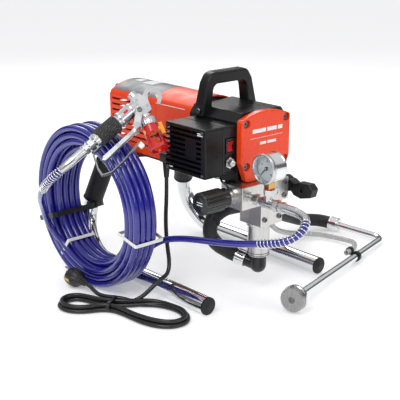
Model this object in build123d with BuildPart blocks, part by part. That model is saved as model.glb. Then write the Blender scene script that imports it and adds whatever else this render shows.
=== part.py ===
"""Airless paint sprayer: electric piston pump on a tubular stand, with hose, gun and power cord.

Frame: millimetres, +Z up.  z = 0 is the floor, x = 0 is midway between the two feet and
y = 0 is the axis of the pump rod.  The orange front cover faces -Y and the motor points to +Y.
"""
import os
from math import atan2, cos, degrees, pi, radians, sin, sqrt, tan

from build123d import *

os.makedirs("parts", exist_ok=True)

# ---------------------------------------------------------------- driving dimensions
FRAME_TUBE_R = 15.0
FRAME_TUBE_WALL = 1.5
FOOT_X = 133.0
FOOT_FRONT_Y = -20.0
FOOT_CORNER_Y = 352.0
LEG_LEAN_IN = 0.24
LEG_LEAN_FORWARD = 0.29
FRAME_BEND_R = 75.0

HOUSING_HALF_W = 55.0
HOUSING_Y = (-2.0, 112.0)
HOUSING_Z = (201.0, 314.0)
HOUSING_WALL = 4.0
MID_WALL_Y = (52.0, 62.0)
BACK_WALL_Y = (104.0, 112.0)
COVER_FRONT_Y = -14.0

MOTOR_HALF_W = 53.0
MOTOR_TOP_Z = 321.0
MOTOR_SPLIT_Y = 205.0
MOTOR_END_Y = 345.0
MOTOR_AXIS_Z = 268.0
CRANK_AXIS_Z = 252.0
CRANK_THROW = 10.0

GEAR_MODULE = 1.25
MOTOR_PINION_TEETH = 12
IDLER_TEETH = 32
IDLER_PINION_TEETH = 12
CRANK_TEETH = 44

BOX_X = (-120.0, -55.3)
BOX_Y = (0.0, 98.0)
BOX_Z = (217.0, 297.0)
BOX_SINK_X = -83.0

BLOCK_X = (-68.0, 38.0)
BLOCK_Y = (-30.0, 20.0)
BLOCK_Z = (163.0, 201.0)
STEM_HALF_W = 25.0
STEM_Z = 125.0
PORT_Z = 183.0
PORT_Y = -5.0
CYLINDER_R = 18.5
CYLINDER_BORE_R = 10.0
CYLINDER_Z = 64.0
ROD_R = 8.0
RUNNING = 0.05

OUTLET_X = -52.0
TEE_Y = -73.0
GAUGE_Z = 241.0
GAUGE_R = 23.0
GAUGE_X = (-67.0, -37.0)

SUCTION_HOSE_R = 12.5
SUCTION_FERRULE_R = 14.0
PIPE_R = 7.0
RETURN_R = 5.0
STRAINER_R = 22.0

BLUE_HOSE_R = 5.5
CORD_R = 3.5
COIL_X = (-207.5, -152.5)
COIL_Y = 205.0
COIL_Z = 141.0
COIL_R = (94.0, 140.0)

GUN_PIVOT = Vector(-142, 135, 323)
GUN_HANDLE_DIR = Vector(-89, 5, -51.5)
GUN_TRIGGER_DIR = Vector(-89, -20, -76)
GUN_GRIP_R = 14.5
NOZZLE_START = (8.0, 18.0)
NOZZLE_TILT = radians(25.1)
NOZZLE_DIR = (sin(NOZZLE_TILT), cos(NOZZLE_TILT))

GUN = Plane(origin=GUN_PIVOT, x_dir=GUN_HANDLE_DIR, z_dir=GUN_HANDLE_DIR.cross(GUN_TRIGGER_DIR))


# ---------------------------------------------------------------- shared helpers
def save(builder, name):
    """Label a finished piece and write its STEP file."""
    builder.part.label = name
    export_step(builder.part, f"parts/{name}.step")


def face_y(y):
    """Sketch plane in X and Z at a given y; a positive extrusion goes towards -Y."""
    return Plane.XZ.offset(-y)


def face_x(x):
    """Sketch plane in Y and Z at a given x; a positive extrusion goes towards +X."""
    return Plane.YZ.offset(x)


def at(point, direction):
    """Plane at a point, facing along a direction."""
    return Plane(origin=point, z_dir=direction)


def gun_point(u, v, w=0.0):
    """A point of the gun's own plane: u down the handle, v towards the nozzle, w across."""
    return GUN.from_local_coords(Vector(u, v, w))


def nozzle_plane(s):
    """Plane across the nozzle axis at a distance s from its start, its Y along the gun's width."""
    start = gun_point(NOZZLE_START[0] + s * NOZZLE_DIR[0], NOZZLE_START[1] + s * NOZZLE_DIR[1])
    axis = gun_point(*NOZZLE_DIR) - gun_point(0, 0)
    return Plane(origin=start, x_dir=axis.cross(GUN.z_dir), z_dir=axis)


def corner_radii(points, share=0.45):
    """Radius of each corner's arc: a share of the shorter run over the tangent of half the turn."""
    radii = []
    for a, b, c in zip(points, points[1:], points[2:]):
        run_in = Vector(*b) - Vector(*a)
        run_out = Vector(*c) - Vector(*b)
        half_turn = radians(run_in.get_angle(run_out)) / 2
        radii.append(share * min(run_in.length, run_out.length) / tan(half_turn))
    return radii


def route_tube(name, points, outer_r, inner_r=0.0):
    """A tube along straight runs joined by tangent arcs, checked against section times length."""
    radii = corner_radii(points)
    with BuildPart() as tube:
        with BuildLine() as path:
            FilletPolyline(*points, radius=radii)
        with BuildSketch(at(path.line @ 0, path.line % 0)):
            Circle(outer_r)
            if inner_r:
                Circle(inner_r, mode=Mode.SUBTRACT)
        sweep(path=path.line)
    section = pi * (outer_r**2 - inner_r**2)
    length = path.wire().length
    print(f"{name}: length {length:.0f}, radii {[round(r) for r in radii]},"
          f" volume ratio {tube.part.volume / (section * length):.4f}")
    save(tube, name)


def leg_point(side, z):
    """Point on the sloping leg's axis at height z; side is -1 for left and 1 for right."""
    rise = z - FRAME_TUBE_R
    return Vector(side * (FOOT_X - LEG_LEAN_IN * rise), FOOT_CORNER_Y - LEG_LEAN_FORWARD * rise, z)


def leg_axis(side):
    """Unit direction up the leg."""
    return (leg_point(side, 200) - leg_point(side, 100)).normalized()


# ---------------------------------------------------------------- stand
LEG_TOP_Z = 187.0


def frame_tube(side, name):
    """Foot, bend and leg of one side, as a single bent tube."""
    corner = (side * FOOT_X, FOOT_CORNER_Y, FRAME_TUBE_R)
    foot = (side * FOOT_X, FOOT_FRONT_Y, FRAME_TUBE_R)
    with BuildPart() as tube:
        with BuildLine() as path:
            FilletPolyline(foot, corner, leg_point(side, LEG_TOP_Z), radius=FRAME_BEND_R)
        with BuildSketch(at(path.line @ 0, path.line % 0)):
            Circle(FRAME_TUBE_R)
            Circle(FRAME_TUBE_R - FRAME_TUBE_WALL, mode=Mode.SUBTRACT)
        sweep(path=path.line)
    save(tube, name)


frame_tube(-1, "left_frame_tube")
frame_tube(1, "right_frame_tube")

SADDLE_Y = (22.0, 330.0)
SADDLE_Z = (196.0, 201.0)
EAR_Y = (272.0, 330.0)
EAR_HALF_W = 110.0
with BuildPart() as frame_bracket:
    with BuildSketch(Plane.XY.offset(SADDLE_Z[0])):
        with BuildLine():
            Polyline((-48, SADDLE_Y[0]), (48, SADDLE_Y[0]), (48, EAR_Y[0] - 30), (EAR_HALF_W, EAR_Y[0]),
                     (EAR_HALF_W, EAR_Y[1]), (-EAR_HALF_W, EAR_Y[1]), (-EAR_HALF_W, EAR_Y[0]),
                     (-48, EAR_Y[0] - 30), close=True)
        make_face()
        fillet(vertices(), 8)
    extrude(amount=SADDLE_Z[1] - SADDLE_Z[0])
    for side in (-1, 1):
        with BuildSketch(at(leg_point(side, LEG_TOP_Z + 0.1), leg_axis(side))):
            Circle(FRAME_TUBE_R + 2)
        extrude(until=Until.NEXT, target=frame_bracket.part)
save(frame_bracket, "frame_bracket")

with BuildPart() as foot_plugs:
    for side in (-1, 1):
        with BuildSketch(face_y(FOOT_FRONT_Y).shift_origin((side * FOOT_X, FOOT_FRONT_Y, FRAME_TUBE_R))):
            Circle(FRAME_TUBE_R)
        extrude(amount=3)
        with BuildSketch(face_y(FOOT_FRONT_Y).shift_origin((side * FOOT_X, FOOT_FRONT_Y, FRAME_TUBE_R))):
            Circle(FRAME_TUBE_R - FRAME_TUBE_WALL - 0.1)
        extrude(amount=-14)
    chamfer(foot_plugs.faces().filter_by(Axis.Y).sort_by(Axis.Y)[:2].edges(), 1)
save(foot_plugs, "foot_plugs")

SLEEVE_Z = (110.0, 184.0)
with BuildPart() as leg_sleeves:
    for side in (-1, 1):
        start = leg_point(side, SLEEVE_Z[0])
        with BuildSketch(at(start, leg_axis(side))):
            Circle(FRAME_TUBE_R + 3)
            Circle(FRAME_TUBE_R + 0.05, mode=Mode.SUBTRACT)
        extrude(amount=(leg_point(side, SLEEVE_Z[1]) - start).length)
save(leg_sleeves, "leg_sleeves")


# ---------------------------------------------------------------- drive housing and covers
def housing_outline(half_w, z_low, z_high, shoulder=11.0, drop=14.0):
    """Box outline with sloping shoulders, as a closed polyline in X and Z."""
    Polyline((-half_w, z_low), (half_w, z_low), (half_w, z_high - drop), (half_w - shoulder, z_high),
             (-half_w + shoulder, z_high), (-half_w, z_high - drop), close=True)


IDLER_X = 26.69
IDLER_Z = 274.65
SHAFT_R = 6.0
IDLER_SHAFT_R = 4.0
MOTOR_BEARING_R = 14.0
CRANK_BEARING_R = 13.0
IDLER_BEARING_R = 9.5
COVER_SCREWS = ((-45.0, 298.0), (45.0, 298.0), (-44.0, 228.0), (44.0, 228.0))

with BuildPart() as drive_housing:
    with BuildSketch(face_y(HOUSING_Y[0])):
        with BuildLine():
            housing_outline(HOUSING_HALF_W, *HOUSING_Z)
        make_face()
    extrude(amount=-(HOUSING_Y[1] - HOUSING_Y[0]))
    cavity_low = HOUSING_Z[0] + HOUSING_WALL
    cavity_high = HOUSING_Z[1] - HOUSING_WALL
    for y_from, y_to in ((HOUSING_Y[0], MID_WALL_Y[0]), (MID_WALL_Y[1], BACK_WALL_Y[0])):
        with BuildSketch(face_y(y_from)):
            with BuildLine():
                housing_outline(HOUSING_HALF_W - HOUSING_WALL, cavity_low, cavity_high)
            make_face()
            if y_from == HOUSING_Y[0]:
                with Locations(*COVER_SCREWS):
                    Circle(6.5, mode=Mode.SUBTRACT)
        extrude(amount=-(y_to - y_from), mode=Mode.SUBTRACT)
    with BuildSketch(face_y(MID_WALL_Y[0])):
        with Locations((0, CRANK_AXIS_Z)):
            Circle(CRANK_BEARING_R)
        with Locations((IDLER_X, IDLER_Z)):
            Circle(IDLER_BEARING_R)
    extrude(amount=-(MID_WALL_Y[1] - MID_WALL_Y[0]), mode=Mode.SUBTRACT)
    with BuildSketch(face_y(BACK_WALL_Y[0])):
        with Locations((0, MOTOR_AXIS_Z)):
            Circle(MOTOR_BEARING_R)
        with Locations((IDLER_X, IDLER_Z)):
            Circle(IDLER_BEARING_R)
    extrude(amount=-(BACK_WALL_Y[1] - BACK_WALL_Y[0]), mode=Mode.SUBTRACT)
    with BuildSketch(Plane.XY.offset(HOUSING_Z[0])):
        Circle(ROD_R + 2)
    extrude(amount=HOUSING_WALL, mode=Mode.SUBTRACT)
    with BuildSketch(face_y(HOUSING_Y[0])):
        with Locations(*COVER_SCREWS):
            Circle(2.1)
    extrude(amount=-22, mode=Mode.SUBTRACT)
    fillet(drive_housing.edges().filter_by(Axis.Y).sort_by(Axis.Z)[-2:], 4)
save(drive_housing, "drive_housing")


def cover_outline(inset=0.0):
    """Front cover's outline: a crowned top and a tapered chin."""
    low = HOUSING_Z[0] + 0.3 + inset
    Line((-42 + inset, low), (42 - inset, low))
    Line((42 - inset, low), (55 - inset, 234))
    Line((55 - inset, 234), (55 - inset, 303 - inset))
    ThreePointArc((55 - inset, 303 - inset), (0, 315 - inset), (-55 + inset, 303 - inset))
    Line((-55 + inset, 303 - inset), (-55 + inset, 234))
    Line((-55 + inset, 234), (-42 + inset, low))


POCKET_DEPTH = 7.0
with BuildPart() as front_cover:
    with BuildSketch(face_y(COVER_FRONT_Y)):
        with BuildLine():
            cover_outline()
        make_face()
        fillet(vertices(), 5)
    extrude(amount=-(HOUSING_Y[0] - COVER_FRONT_Y))
    fillet(front_cover.faces().sort_by(Axis.Y)[0].edges(), 2.5)
    with BuildSketch(face_y(COVER_FRONT_Y)):
        with Locations(*COVER_SCREWS):
            SlotOverall(16, 13, rotation=0)
    extrude(amount=-POCKET_DEPTH, mode=Mode.SUBTRACT)
    with BuildSketch(face_y(COVER_FRONT_Y + 3)):
        with BuildLine():
            cover_outline(3)
        make_face()
        with Locations(*COVER_SCREWS):
            SlotOverall(22, 19, mode=Mode.SUBTRACT)
    extrude(amount=-(HOUSING_Y[0] - COVER_FRONT_Y - 3), mode=Mode.SUBTRACT)
    with BuildSketch(face_y(HOUSING_Y[0])):
        with Locations(*COVER_SCREWS):
            Circle(2.1)
    extrude(amount=8, mode=Mode.SUBTRACT)
    with BuildSketch(Plane.XY.offset(HOUSING_Z[0])):
        Circle(ROD_R + 2)
    extrude(amount=HOUSING_WALL, mode=Mode.SUBTRACT)
save(front_cover, "front_cover")

with BuildPart() as screws:
    for x, z in COVER_SCREWS:
        seat = COVER_FRONT_Y + POCKET_DEPTH
        with BuildSketch(face_y(seat)):
            with Locations((x, z)):
                Circle(4.2)
        extrude(amount=3.5)
        with BuildSketch(face_y(seat - 3.5)):
            with Locations((x, z)):
                RegularPolygon(2.2, 6)
        extrude(amount=-2, mode=Mode.SUBTRACT)
        with BuildSketch(face_y(seat)):
            with Locations((x, z)):
                Circle(2.0)
        extrude(amount=-18)
    for y, z in ((8.0, 214.0), (88.0, 214.0)):
        with BuildSketch(Plane.XY.offset(BOX_Z[0] - 3.2)):
            with Locations((-88, y)):
                Circle(4.5)
        extrude(amount=3)
    for y in (7.0, 91.0):
        with BuildSketch(face_x(BOX_X[0] - 2.2)):
            with Locations((y, 291), (y, 223)):
                Circle(3)
        extrude(amount=2)
save(screws, "screws")

HANDLE_Y = (72.0, 94.0)
with BuildPart() as carry_handle:
    with BuildSketch(face_y(HANDLE_Y[0])):
        with BuildLine():
            Polyline((-44, 314.2), (-55.3, 300.2), (-62, 300.2), (-60, 318), (-51, 352), (-40, 369),
                     (40, 369), (51, 352), (60, 318), (62, 300.2), (55.3, 300.2), (44, 314.2),
                     (40, 314.2), (35.5, 349), (-35.5, 349), (-40, 314.2), close=True)
        make_face()
        fillet(vertices().group_by(Axis.Y)[-1], 16)
        fillet(vertices().group_by(Axis.Y)[-4], 12)
    extrude(amount=-(HANDLE_Y[1] - HANDLE_Y[0]))
    outer = carry_handle.faces().filter_by(Axis.Y).edges().filter_by(lambda e: e.center().Z > 315)
    fillet(outer, 4)
save(carry_handle, "carry_handle")


def motor_outline(inset=0.0):
    """Motor shroud's outline: straight sides, a crease and a crowned top."""
    half = MOTOR_HALF_W - inset
    low = 201.3 + inset
    crease = 306.0
    Line((-half, low), (half, low))
    Line((half, low), (half, crease - 8))
    Line((half, crease - 8), (half - 4, crease))
    ThreePointArc((half - 4, crease), (0, MOTOR_TOP_Z - inset), (-half + 4, crease))
    Line((-half + 4, crease), (-half, crease - 8))
    Line((-half, crease - 8), (-half, low))


SHROUD_WALL = 3.0
with BuildPart() as motor_shroud:
    with BuildSketch(face_y(HOUSING_Y[1] + 0.3)):
        with BuildLine():
            motor_outline()
        make_face()
        with BuildLine():
            motor_outline(SHROUD_WALL)
        make_face(mode=Mode.SUBTRACT)
    extrude(amount=-(MOTOR_SPLIT_Y - HOUSING_Y[1] - 0.6))
    with BuildSketch(face_x(-MOTOR_HALF_W - 1)):
        with GridLocations(0, 11, 1, 4):
            with Locations((164, 238)):
                SlotOverall(58, 5)
    extrude(amount=2 * MOTOR_HALF_W + 2, mode=Mode.SUBTRACT)
save(motor_shroud, "motor_shroud")

LOUVRE_PITCH = 10.5
with BuildPart() as rear_motor_cover:
    with BuildSketch(face_y(MOTOR_SPLIT_Y)):
        with BuildLine():
            motor_outline()
        make_face()
    extrude(amount=-(MOTOR_END_Y - MOTOR_SPLIT_Y))
    fillet(rear_motor_cover.faces().sort_by(Axis.Y)[-1].edges().sort_by(Axis.Z)[1:], 6)
    with BuildSketch(face_y(MOTOR_SPLIT_Y)):
        with BuildLine():
            motor_outline(SHROUD_WALL)
        make_face()
    extrude(amount=-(MOTOR_END_Y - MOTOR_SPLIT_Y - 4), mode=Mode.SUBTRACT)
    with BuildSketch(face_x(-MOTOR_HALF_W - 1)):
        with Locations((277, 255)):
            with GridLocations(0, LOUVRE_PITCH, 1, 8):
                SlotOverall(116, 4)
    extrude(amount=2 * MOTOR_HALF_W + 2, mode=Mode.SUBTRACT)
    with BuildSketch(face_y(MOTOR_END_Y - 5)):
        with Locations((0, 255)):
            with GridLocations(0, LOUVRE_PITCH, 1, 8):
                SlotOverall(80, 4)
    extrude(amount=-8, mode=Mode.SUBTRACT)
save(rear_motor_cover, "rear_motor_cover")


# ---------------------------------------------------------------- motor and gear train
def ring(plane, outer_r, inner_r, depth):
    """Extruded ring on a plane, inside the current part."""
    with BuildSketch(plane) as profile:
        Circle(outer_r)
        Circle(inner_r, mode=Mode.SUBTRACT)
    extrude(profile.sketch, amount=depth)


def y_axis(x, y, z):
    """Plane at a point, facing +Y, with its X along +X."""
    return Plane(origin=(x, y, z), x_dir=(1, 0, 0), z_dir=(0, 1, 0))


def disc(plane, radius, depth):
    """Extruded disc on a plane, inside the current part."""
    with BuildSketch(plane) as profile:
        Circle(radius)
    extrude(profile.sketch, amount=depth)


def gear(plane, teeth, depth, tooth_angle):
    """Spur gear with straight-flanked teeth; one tooth is centred on tooth_angle in degrees."""
    pitch_r = GEAR_MODULE * teeth / 2
    root_r = pitch_r - 1.25 * GEAR_MODULE
    tip_r = pitch_r + 0.8 * GEAR_MODULE
    pitch = 360 / teeth
    points = []
    for k in range(teeth):
        centre = tooth_angle + k * pitch
        for radius, offset in ((root_r, -0.33), (tip_r, -0.11), (tip_r, 0.11), (root_r, 0.33)):
            angle = radians(centre + offset * pitch)
            points.append((radius * cos(angle), radius * sin(angle)))
    with BuildSketch(plane) as profile:
        with BuildLine() as outline:
            Polyline(*points, close=True)
        make_face(outline.edges())
    extrude(profile.sketch, amount=depth)


def mesh_angle(from_xz, to_xz):
    """Angle of the line between two gear centres, in a sketch that faces +Y."""
    return degrees(atan2(-(to_xz[1] - from_xz[1]), to_xz[0] - from_xz[0]))


MOTOR_XZ = (0.0, MOTOR_AXIS_Z)
IDLER_XZ = (IDLER_X, IDLER_Z)
CRANK_XZ = (0.0, CRANK_AXIS_Z)
CAN_R = (44.0, 47.0)
END_BELL_Y = (256.0, 262.0)

with BuildPart() as motor_stator:
    ring(y_axis(0, 112.3, MOTOR_AXIS_Z), CAN_R[1], CAN_R[0], END_BELL_Y[0] - 112.3)
    ring(y_axis(0, END_BELL_Y[0], MOTOR_AXIS_Z), CAN_R[1], MOTOR_BEARING_R, END_BELL_Y[1] - END_BELL_Y[0])
    ring(y_axis(0, 132, MOTOR_AXIS_Z), CAN_R[0], 31, 80)
save(motor_stator, "motor_stator")

with BuildPart() as armature:
    gear(y_axis(0, 84, MOTOR_AXIS_Z), MOTOR_PINION_TEETH, 12, mesh_angle(MOTOR_XZ, IDLER_XZ))
    disc(y_axis(0, 96, MOTOR_AXIS_Z), SHAFT_R, 209)
    disc(y_axis(0, 132, MOTOR_AXIS_Z), 29.5, 80)
    disc(y_axis(0, 222, MOTOR_AXIS_Z), 15, 20)
    disc(y_axis(0, 280, MOTOR_AXIS_Z), 12, 16)
    with BuildSketch(y_axis(0, 280, MOTOR_AXIS_Z)):
        with PolarLocations(24, 9):
            Rectangle(28, 2.4)
    extrude(amount=14)
    disc(y_axis(0, 294, MOTOR_AXIS_Z), 38, 2)
save(armature, "armature")

with BuildPart() as intermediate_gear:
    gear(y_axis(IDLER_X, 84, IDLER_Z), IDLER_TEETH, 10, mesh_angle(IDLER_XZ, MOTOR_XZ) + 180 / IDLER_TEETH)
    disc(y_axis(IDLER_X, 46, IDLER_Z), IDLER_SHAFT_R, 65)
    gear(y_axis(IDLER_X, 28, IDLER_Z), IDLER_PINION_TEETH, 18, mesh_angle(IDLER_XZ, CRANK_XZ))
save(intermediate_gear, "intermediate_gear")

with BuildPart() as crank_gear:
    gear(y_axis(0, 30, CRANK_AXIS_Z), CRANK_TEETH, 12, mesh_angle(CRANK_XZ, IDLER_XZ) + 180 / CRANK_TEETH)
    disc(y_axis(0, 42, CRANK_AXIS_Z), SHAFT_R, 26)
    disc(y_axis(CRANK_THROW, 8.5, CRANK_AXIS_Z), 5, 21.5)
save(crank_gear, "crank_gear")

with BuildPart() as bearings:
    gap = 0.02
    ring(y_axis(0, BACK_WALL_Y[0], MOTOR_AXIS_Z), MOTOR_BEARING_R - gap, SHAFT_R + RUNNING, 8)
    ring(y_axis(0, END_BELL_Y[0], MOTOR_AXIS_Z), MOTOR_BEARING_R - gap, SHAFT_R + RUNNING, 6)
    ring(y_axis(0, MID_WALL_Y[0], CRANK_AXIS_Z), CRANK_BEARING_R - gap, SHAFT_R + RUNNING, 10)
    ring(y_axis(IDLER_X, MID_WALL_Y[0], IDLER_Z), IDLER_BEARING_R - gap, IDLER_SHAFT_R + RUNNING, 10)
    ring(y_axis(IDLER_X, BACK_WALL_Y[0], IDLER_Z), IDLER_BEARING_R - gap, IDLER_SHAFT_R + RUNNING, 7)
save(bearings, "bearings")


# ---------------------------------------------------------------- control box
FIN_PITCH = 8.0
with BuildPart() as control_heat_sink:
    sink_depth = BOX_SINK_X - BOX_X[0]
    with BuildSketch(face_x(BOX_X[0])):
        with Locations((BOX_Y[1] / 2, (BOX_Z[0] + BOX_Z[1]) / 2)):
            RectangleRounded(BOX_Y[1] - BOX_Y[0], BOX_Z[1] - BOX_Z[0], 4)
    extrude(amount=sink_depth - 0.2)
    fillet(control_heat_sink.faces().sort_by(Axis.X)[0].edges(), 2)
    with BuildSketch(face_x(BOX_X[0])):
        with Locations((56, (BOX_Z[0] + BOX_Z[1]) / 2)):
            with GridLocations(0, FIN_PITCH, 1, 9):
                Rectangle(90, 4.4)
        with Locations((36, 262)):
            Rectangle(26, 30, mode=Mode.SUBTRACT)
    extrude(amount=9, mode=Mode.SUBTRACT)
    with BuildSketch(face_x(BOX_X[0] + 15)):
        with Locations((BOX_Y[1] / 2, (BOX_Z[0] + BOX_Z[1]) / 2)):
            Rectangle(BOX_Y[1] - 8, BOX_Z[1] - BOX_Z[0] - 8)
    extrude(amount=sink_depth, mode=Mode.SUBTRACT)
save(control_heat_sink, "control_heat_sink")

SWITCH_Z = 264.0
with BuildPart() as control_box:
    with BuildSketch(face_x(BOX_SINK_X)):
        with Locations((BOX_Y[1] / 2, (BOX_Z[0] + BOX_Z[1]) / 2)):
            RectangleRounded(BOX_Y[1] - BOX_Y[0], BOX_Z[1] - BOX_Z[0], 3)
            Rectangle(BOX_Y[1] - 8, BOX_Z[1] - BOX_Z[0] - 8, mode=Mode.SUBTRACT)
    extrude(amount=BOX_X[1] - BOX_SINK_X)
    with BuildSketch(face_y(BOX_Y[0])):
        with Locations((-68.5, 250)):
            RectangleRounded(21, 58, 2)
    extrude(amount=-2, mode=Mode.SUBTRACT)
    with BuildSketch(face_y(BOX_Y[0])):
        with Locations((-68.5, SWITCH_Z)):
            Rectangle(14, 21)
        with Locations((-68.5, 237)):
            Circle(6)
    extrude(amount=-6, mode=Mode.SUBTRACT)
    with BuildSketch(face_y(BOX_Y[0] + 2)):
        with Locations((-68.5, SWITCH_Z)):
            Rectangle(17, 25)
            Rectangle(11.4, 19, mode=Mode.SUBTRACT)
    extrude(amount=2.4)
    with BuildSketch(face_y(BOX_Y[0] + 2)):
        with Locations((-68.5, SWITCH_Z)):
            Rectangle(14, 21)
            Rectangle(11.4, 19, mode=Mode.SUBTRACT)
    extrude(amount=-14)
save(control_box, "control_box")

with BuildPart() as control_board:
    with BuildSketch(face_x(-92)):
        with Locations((BOX_Y[1] / 2 + 4, (BOX_Z[0] + BOX_Z[1]) / 2)):
            Rectangle(76, 66)
    extrude(amount=1.6)
    with BuildSketch(face_x(-90.4)):
        with Locations((40, 262), (66, 244)):
            Rectangle(16, 12)
        with Locations((74, 272)):
            Circle(9)
    extrude(amount=12)
save(control_board, "control_board")

with BuildPart() as rocker_switch:
    with BuildSketch(face_x(-68.5 - 5.3)):
        with BuildLine():
            Polyline((-2.6, SWITCH_Z + 8.2), (1.0, SWITCH_Z), (-1.4, SWITCH_Z - 8.2), (6.0, SWITCH_Z - 8.2),
                     (9.0, SWITCH_Z - 3), (9.0, SWITCH_Z + 3), (6.0, SWITCH_Z + 8.2), close=True)
        make_face()
    extrude(amount=10.6)
save(rocker_switch, "rocker_switch")

with BuildPart() as fuse_holder:
    disc(Plane(origin=(-68.5, BOX_Y[0] + 12, 237), z_dir=(0, -1, 0)), 5.9, 10)
    with BuildSketch(Plane(origin=(-68.5, BOX_Y[0] + 2, 237), z_dir=(0, -1, 0))):
        RegularPolygon(9.5, 6)
    extrude(amount=3)
    disc(Plane(origin=(-68.5, BOX_Y[0] - 1, 237), z_dir=(0, -1, 0)), 6.5, 4)
    disc(Plane(origin=(-68.5, BOX_Y[0] - 5, 237), z_dir=(0, -1, 0)), 4, 1)
save(fuse_holder, "fuse_holder")

GLAND = (-112.0, 106.0, 225.0)
STRAIN_RELIEF_LENGTH = 26.0
with BuildPart() as cord_gland:
    with BuildSketch(face_y(BOX_Y[1] + 0.3)):
        with Locations((GLAND[0], 233)):
            RectangleRounded(15, 16, 2)
    extrude(amount=-16)
    with BuildSketch(Plane.XY.offset(GLAND[2])):
        with Locations((GLAND[0], GLAND[1])):
            Circle(6.5)
    with BuildSketch(Plane.XY.offset(GLAND[2] - STRAIN_RELIEF_LENGTH)):
        with Locations((GLAND[0], GLAND[1])):
            Circle(CORD_R + 0.8)
    loft()
save(cord_gland, "cord_gland")



# ---------------------------------------------------------------- pump
with BuildPart() as pump_manifold:
    with BuildSketch(face_y(BLOCK_Y[0])):
        with BuildLine():
            Polyline((BLOCK_X[0], BLOCK_Z[0]), (-STEM_HALF_W, BLOCK_Z[0]), (-STEM_HALF_W, STEM_Z),
                     (STEM_HALF_W, STEM_Z), (STEM_HALF_W, BLOCK_Z[0]), (BLOCK_X[1], BLOCK_Z[0]),
                     (BLOCK_X[1], BLOCK_Z[1] - 0.3), (BLOCK_X[0], BLOCK_Z[1] - 0.3), close=True)
        make_face()
    extrude(amount=-(BLOCK_Y[1] - BLOCK_Y[0]))
    chamfer(pump_manifold.faces().sort_by(Axis.Y)[0].edges(), 0.8)
    with BuildSketch(Plane.XY.offset(STEM_Z)):
        Circle(CYLINDER_BORE_R)
    extrude(amount=BLOCK_Z[1] - STEM_Z, mode=Mode.SUBTRACT)
    with BuildSketch(Plane.XY.offset(172)):
        Circle(13)
    extrude(amount=BLOCK_Z[1] - 172, mode=Mode.SUBTRACT)
save(pump_manifold, "pump_manifold")

with BuildPart() as packings:
    ring(Plane.XY.offset(172.2), 12.95, ROD_R + RUNNING, 24)
save(packings, "packings")

with BuildPart() as pump_cylinder:
    disc(Plane.XY.offset(CYLINDER_Z), CYLINDER_R, STEM_Z - CYLINDER_Z - 0.1)
    chamfer(pump_cylinder.edges().group_by(Axis.Z)[0], 1.5)
    with BuildSketch(Plane.XY.offset(CYLINDER_Z + 4)):
        Circle(CYLINDER_BORE_R)
    extrude(amount=STEM_Z - CYLINDER_Z, mode=Mode.SUBTRACT)
    with BuildSketch(Plane.XY.offset(CYLINDER_Z)):
        Circle(4.5)
    extrude(amount=6, mode=Mode.SUBTRACT)
save(pump_cylinder, "pump_cylinder")

BALL_R = 6.0
BALL_Z = CYLINDER_Z + 4 + sqrt(BALL_R**2 - 4.5**2) + 0.05
with BuildPart() as inlet_ball:
    with Locations((0, 0, BALL_Z)):
        Sphere(BALL_R)
save(inlet_ball, "inlet_ball")

YOKE_HALF_H = 14.0
with BuildPart() as piston_rod:
    with BuildSketch(face_y(8)):
        with Locations((0, CRANK_AXIS_Z)):
            RectangleRounded(48, 2 * YOKE_HALF_H, 3)
            SlotOverall(2 * (CRANK_THROW + 6), 10.2, mode=Mode.SUBTRACT)
    extrude(amount=15)
    disc(Plane.XY.offset(93), ROD_R, CRANK_AXIS_Z - YOKE_HALF_H - 92)
    disc(Plane.XY.offset(93), CYLINDER_BORE_R - RUNNING, 13)
save(piston_rod, "piston_rod")

with BuildPart() as pressure_control_body:
    with BuildSketch(Plane.XZ):
        with BuildLine():
            Polyline((BLOCK_X[0], 0), (BLOCK_X[0], 13), (-72, 13), (-73, 10), (-78, 10), (-82.5, 14),
                     (-82.5, 4), (-112, 4), (-112, 0), close=True)
        make_face()
    revolve(axis=Axis((0, 0, 0), (1, 0, 0)))
pressure_control_body.part.locate(Location((0, PORT_Y, PORT_Z)))
save(pressure_control_body, "pressure_control_body")

KNOB_X = (-136.0, -83.0)
with BuildPart() as pressure_knob:
    with BuildSketch(Plane(origin=(KNOB_X[0], PORT_Y, PORT_Z), z_dir=(1, 0, 0))):
        Circle(18.5)
        with PolarLocations(19.4, 22):
            Circle(1.6, mode=Mode.SUBTRACT)
    extrude(amount=KNOB_X[1] - KNOB_X[0])
    with BuildSketch(Plane(origin=(KNOB_X[1], PORT_Y, PORT_Z), z_dir=(-1, 0, 0))):
        Circle(30)
        Circle(16, mode=Mode.SUBTRACT)
    extrude(amount=12, taper=-14, mode=Mode.SUBTRACT)
    chamfer(pressure_knob.faces().sort_by(Axis.X)[0].edges().filter_by(GeomType.LINE, reverse=True), 0.8)
    with BuildSketch(Plane(origin=(KNOB_X[1], PORT_Y, PORT_Z), z_dir=(-1, 0, 0))):
        Circle(4 + RUNNING)
    extrude(amount=32, mode=Mode.SUBTRACT)
save(pressure_knob, "pressure_knob")

with BuildPart() as prime_valve_body:
    with BuildSketch(Plane(origin=(BLOCK_X[1], PORT_Y, PORT_Z - 3), z_dir=(1, 0, 0))):
        RegularPolygon(14, 6)
    extrude(amount=6)
    disc(Plane(origin=(BLOCK_X[1] + 6, PORT_Y, PORT_Z - 3), z_dir=(1, 0, 0)), 10, 7)
    disc(Plane(origin=(BLOCK_X[1] + 13, PORT_Y, PORT_Z - 3), z_dir=(1, 0, 0)), 4, 14)
    disc(Plane(origin=(BLOCK_X[1] + 7, PORT_Y + 6, PORT_Z - 8), z_dir=(0, 0.6, -0.8)), 4.2, 12)
save(prime_valve_body, "prime_valve_body")

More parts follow.
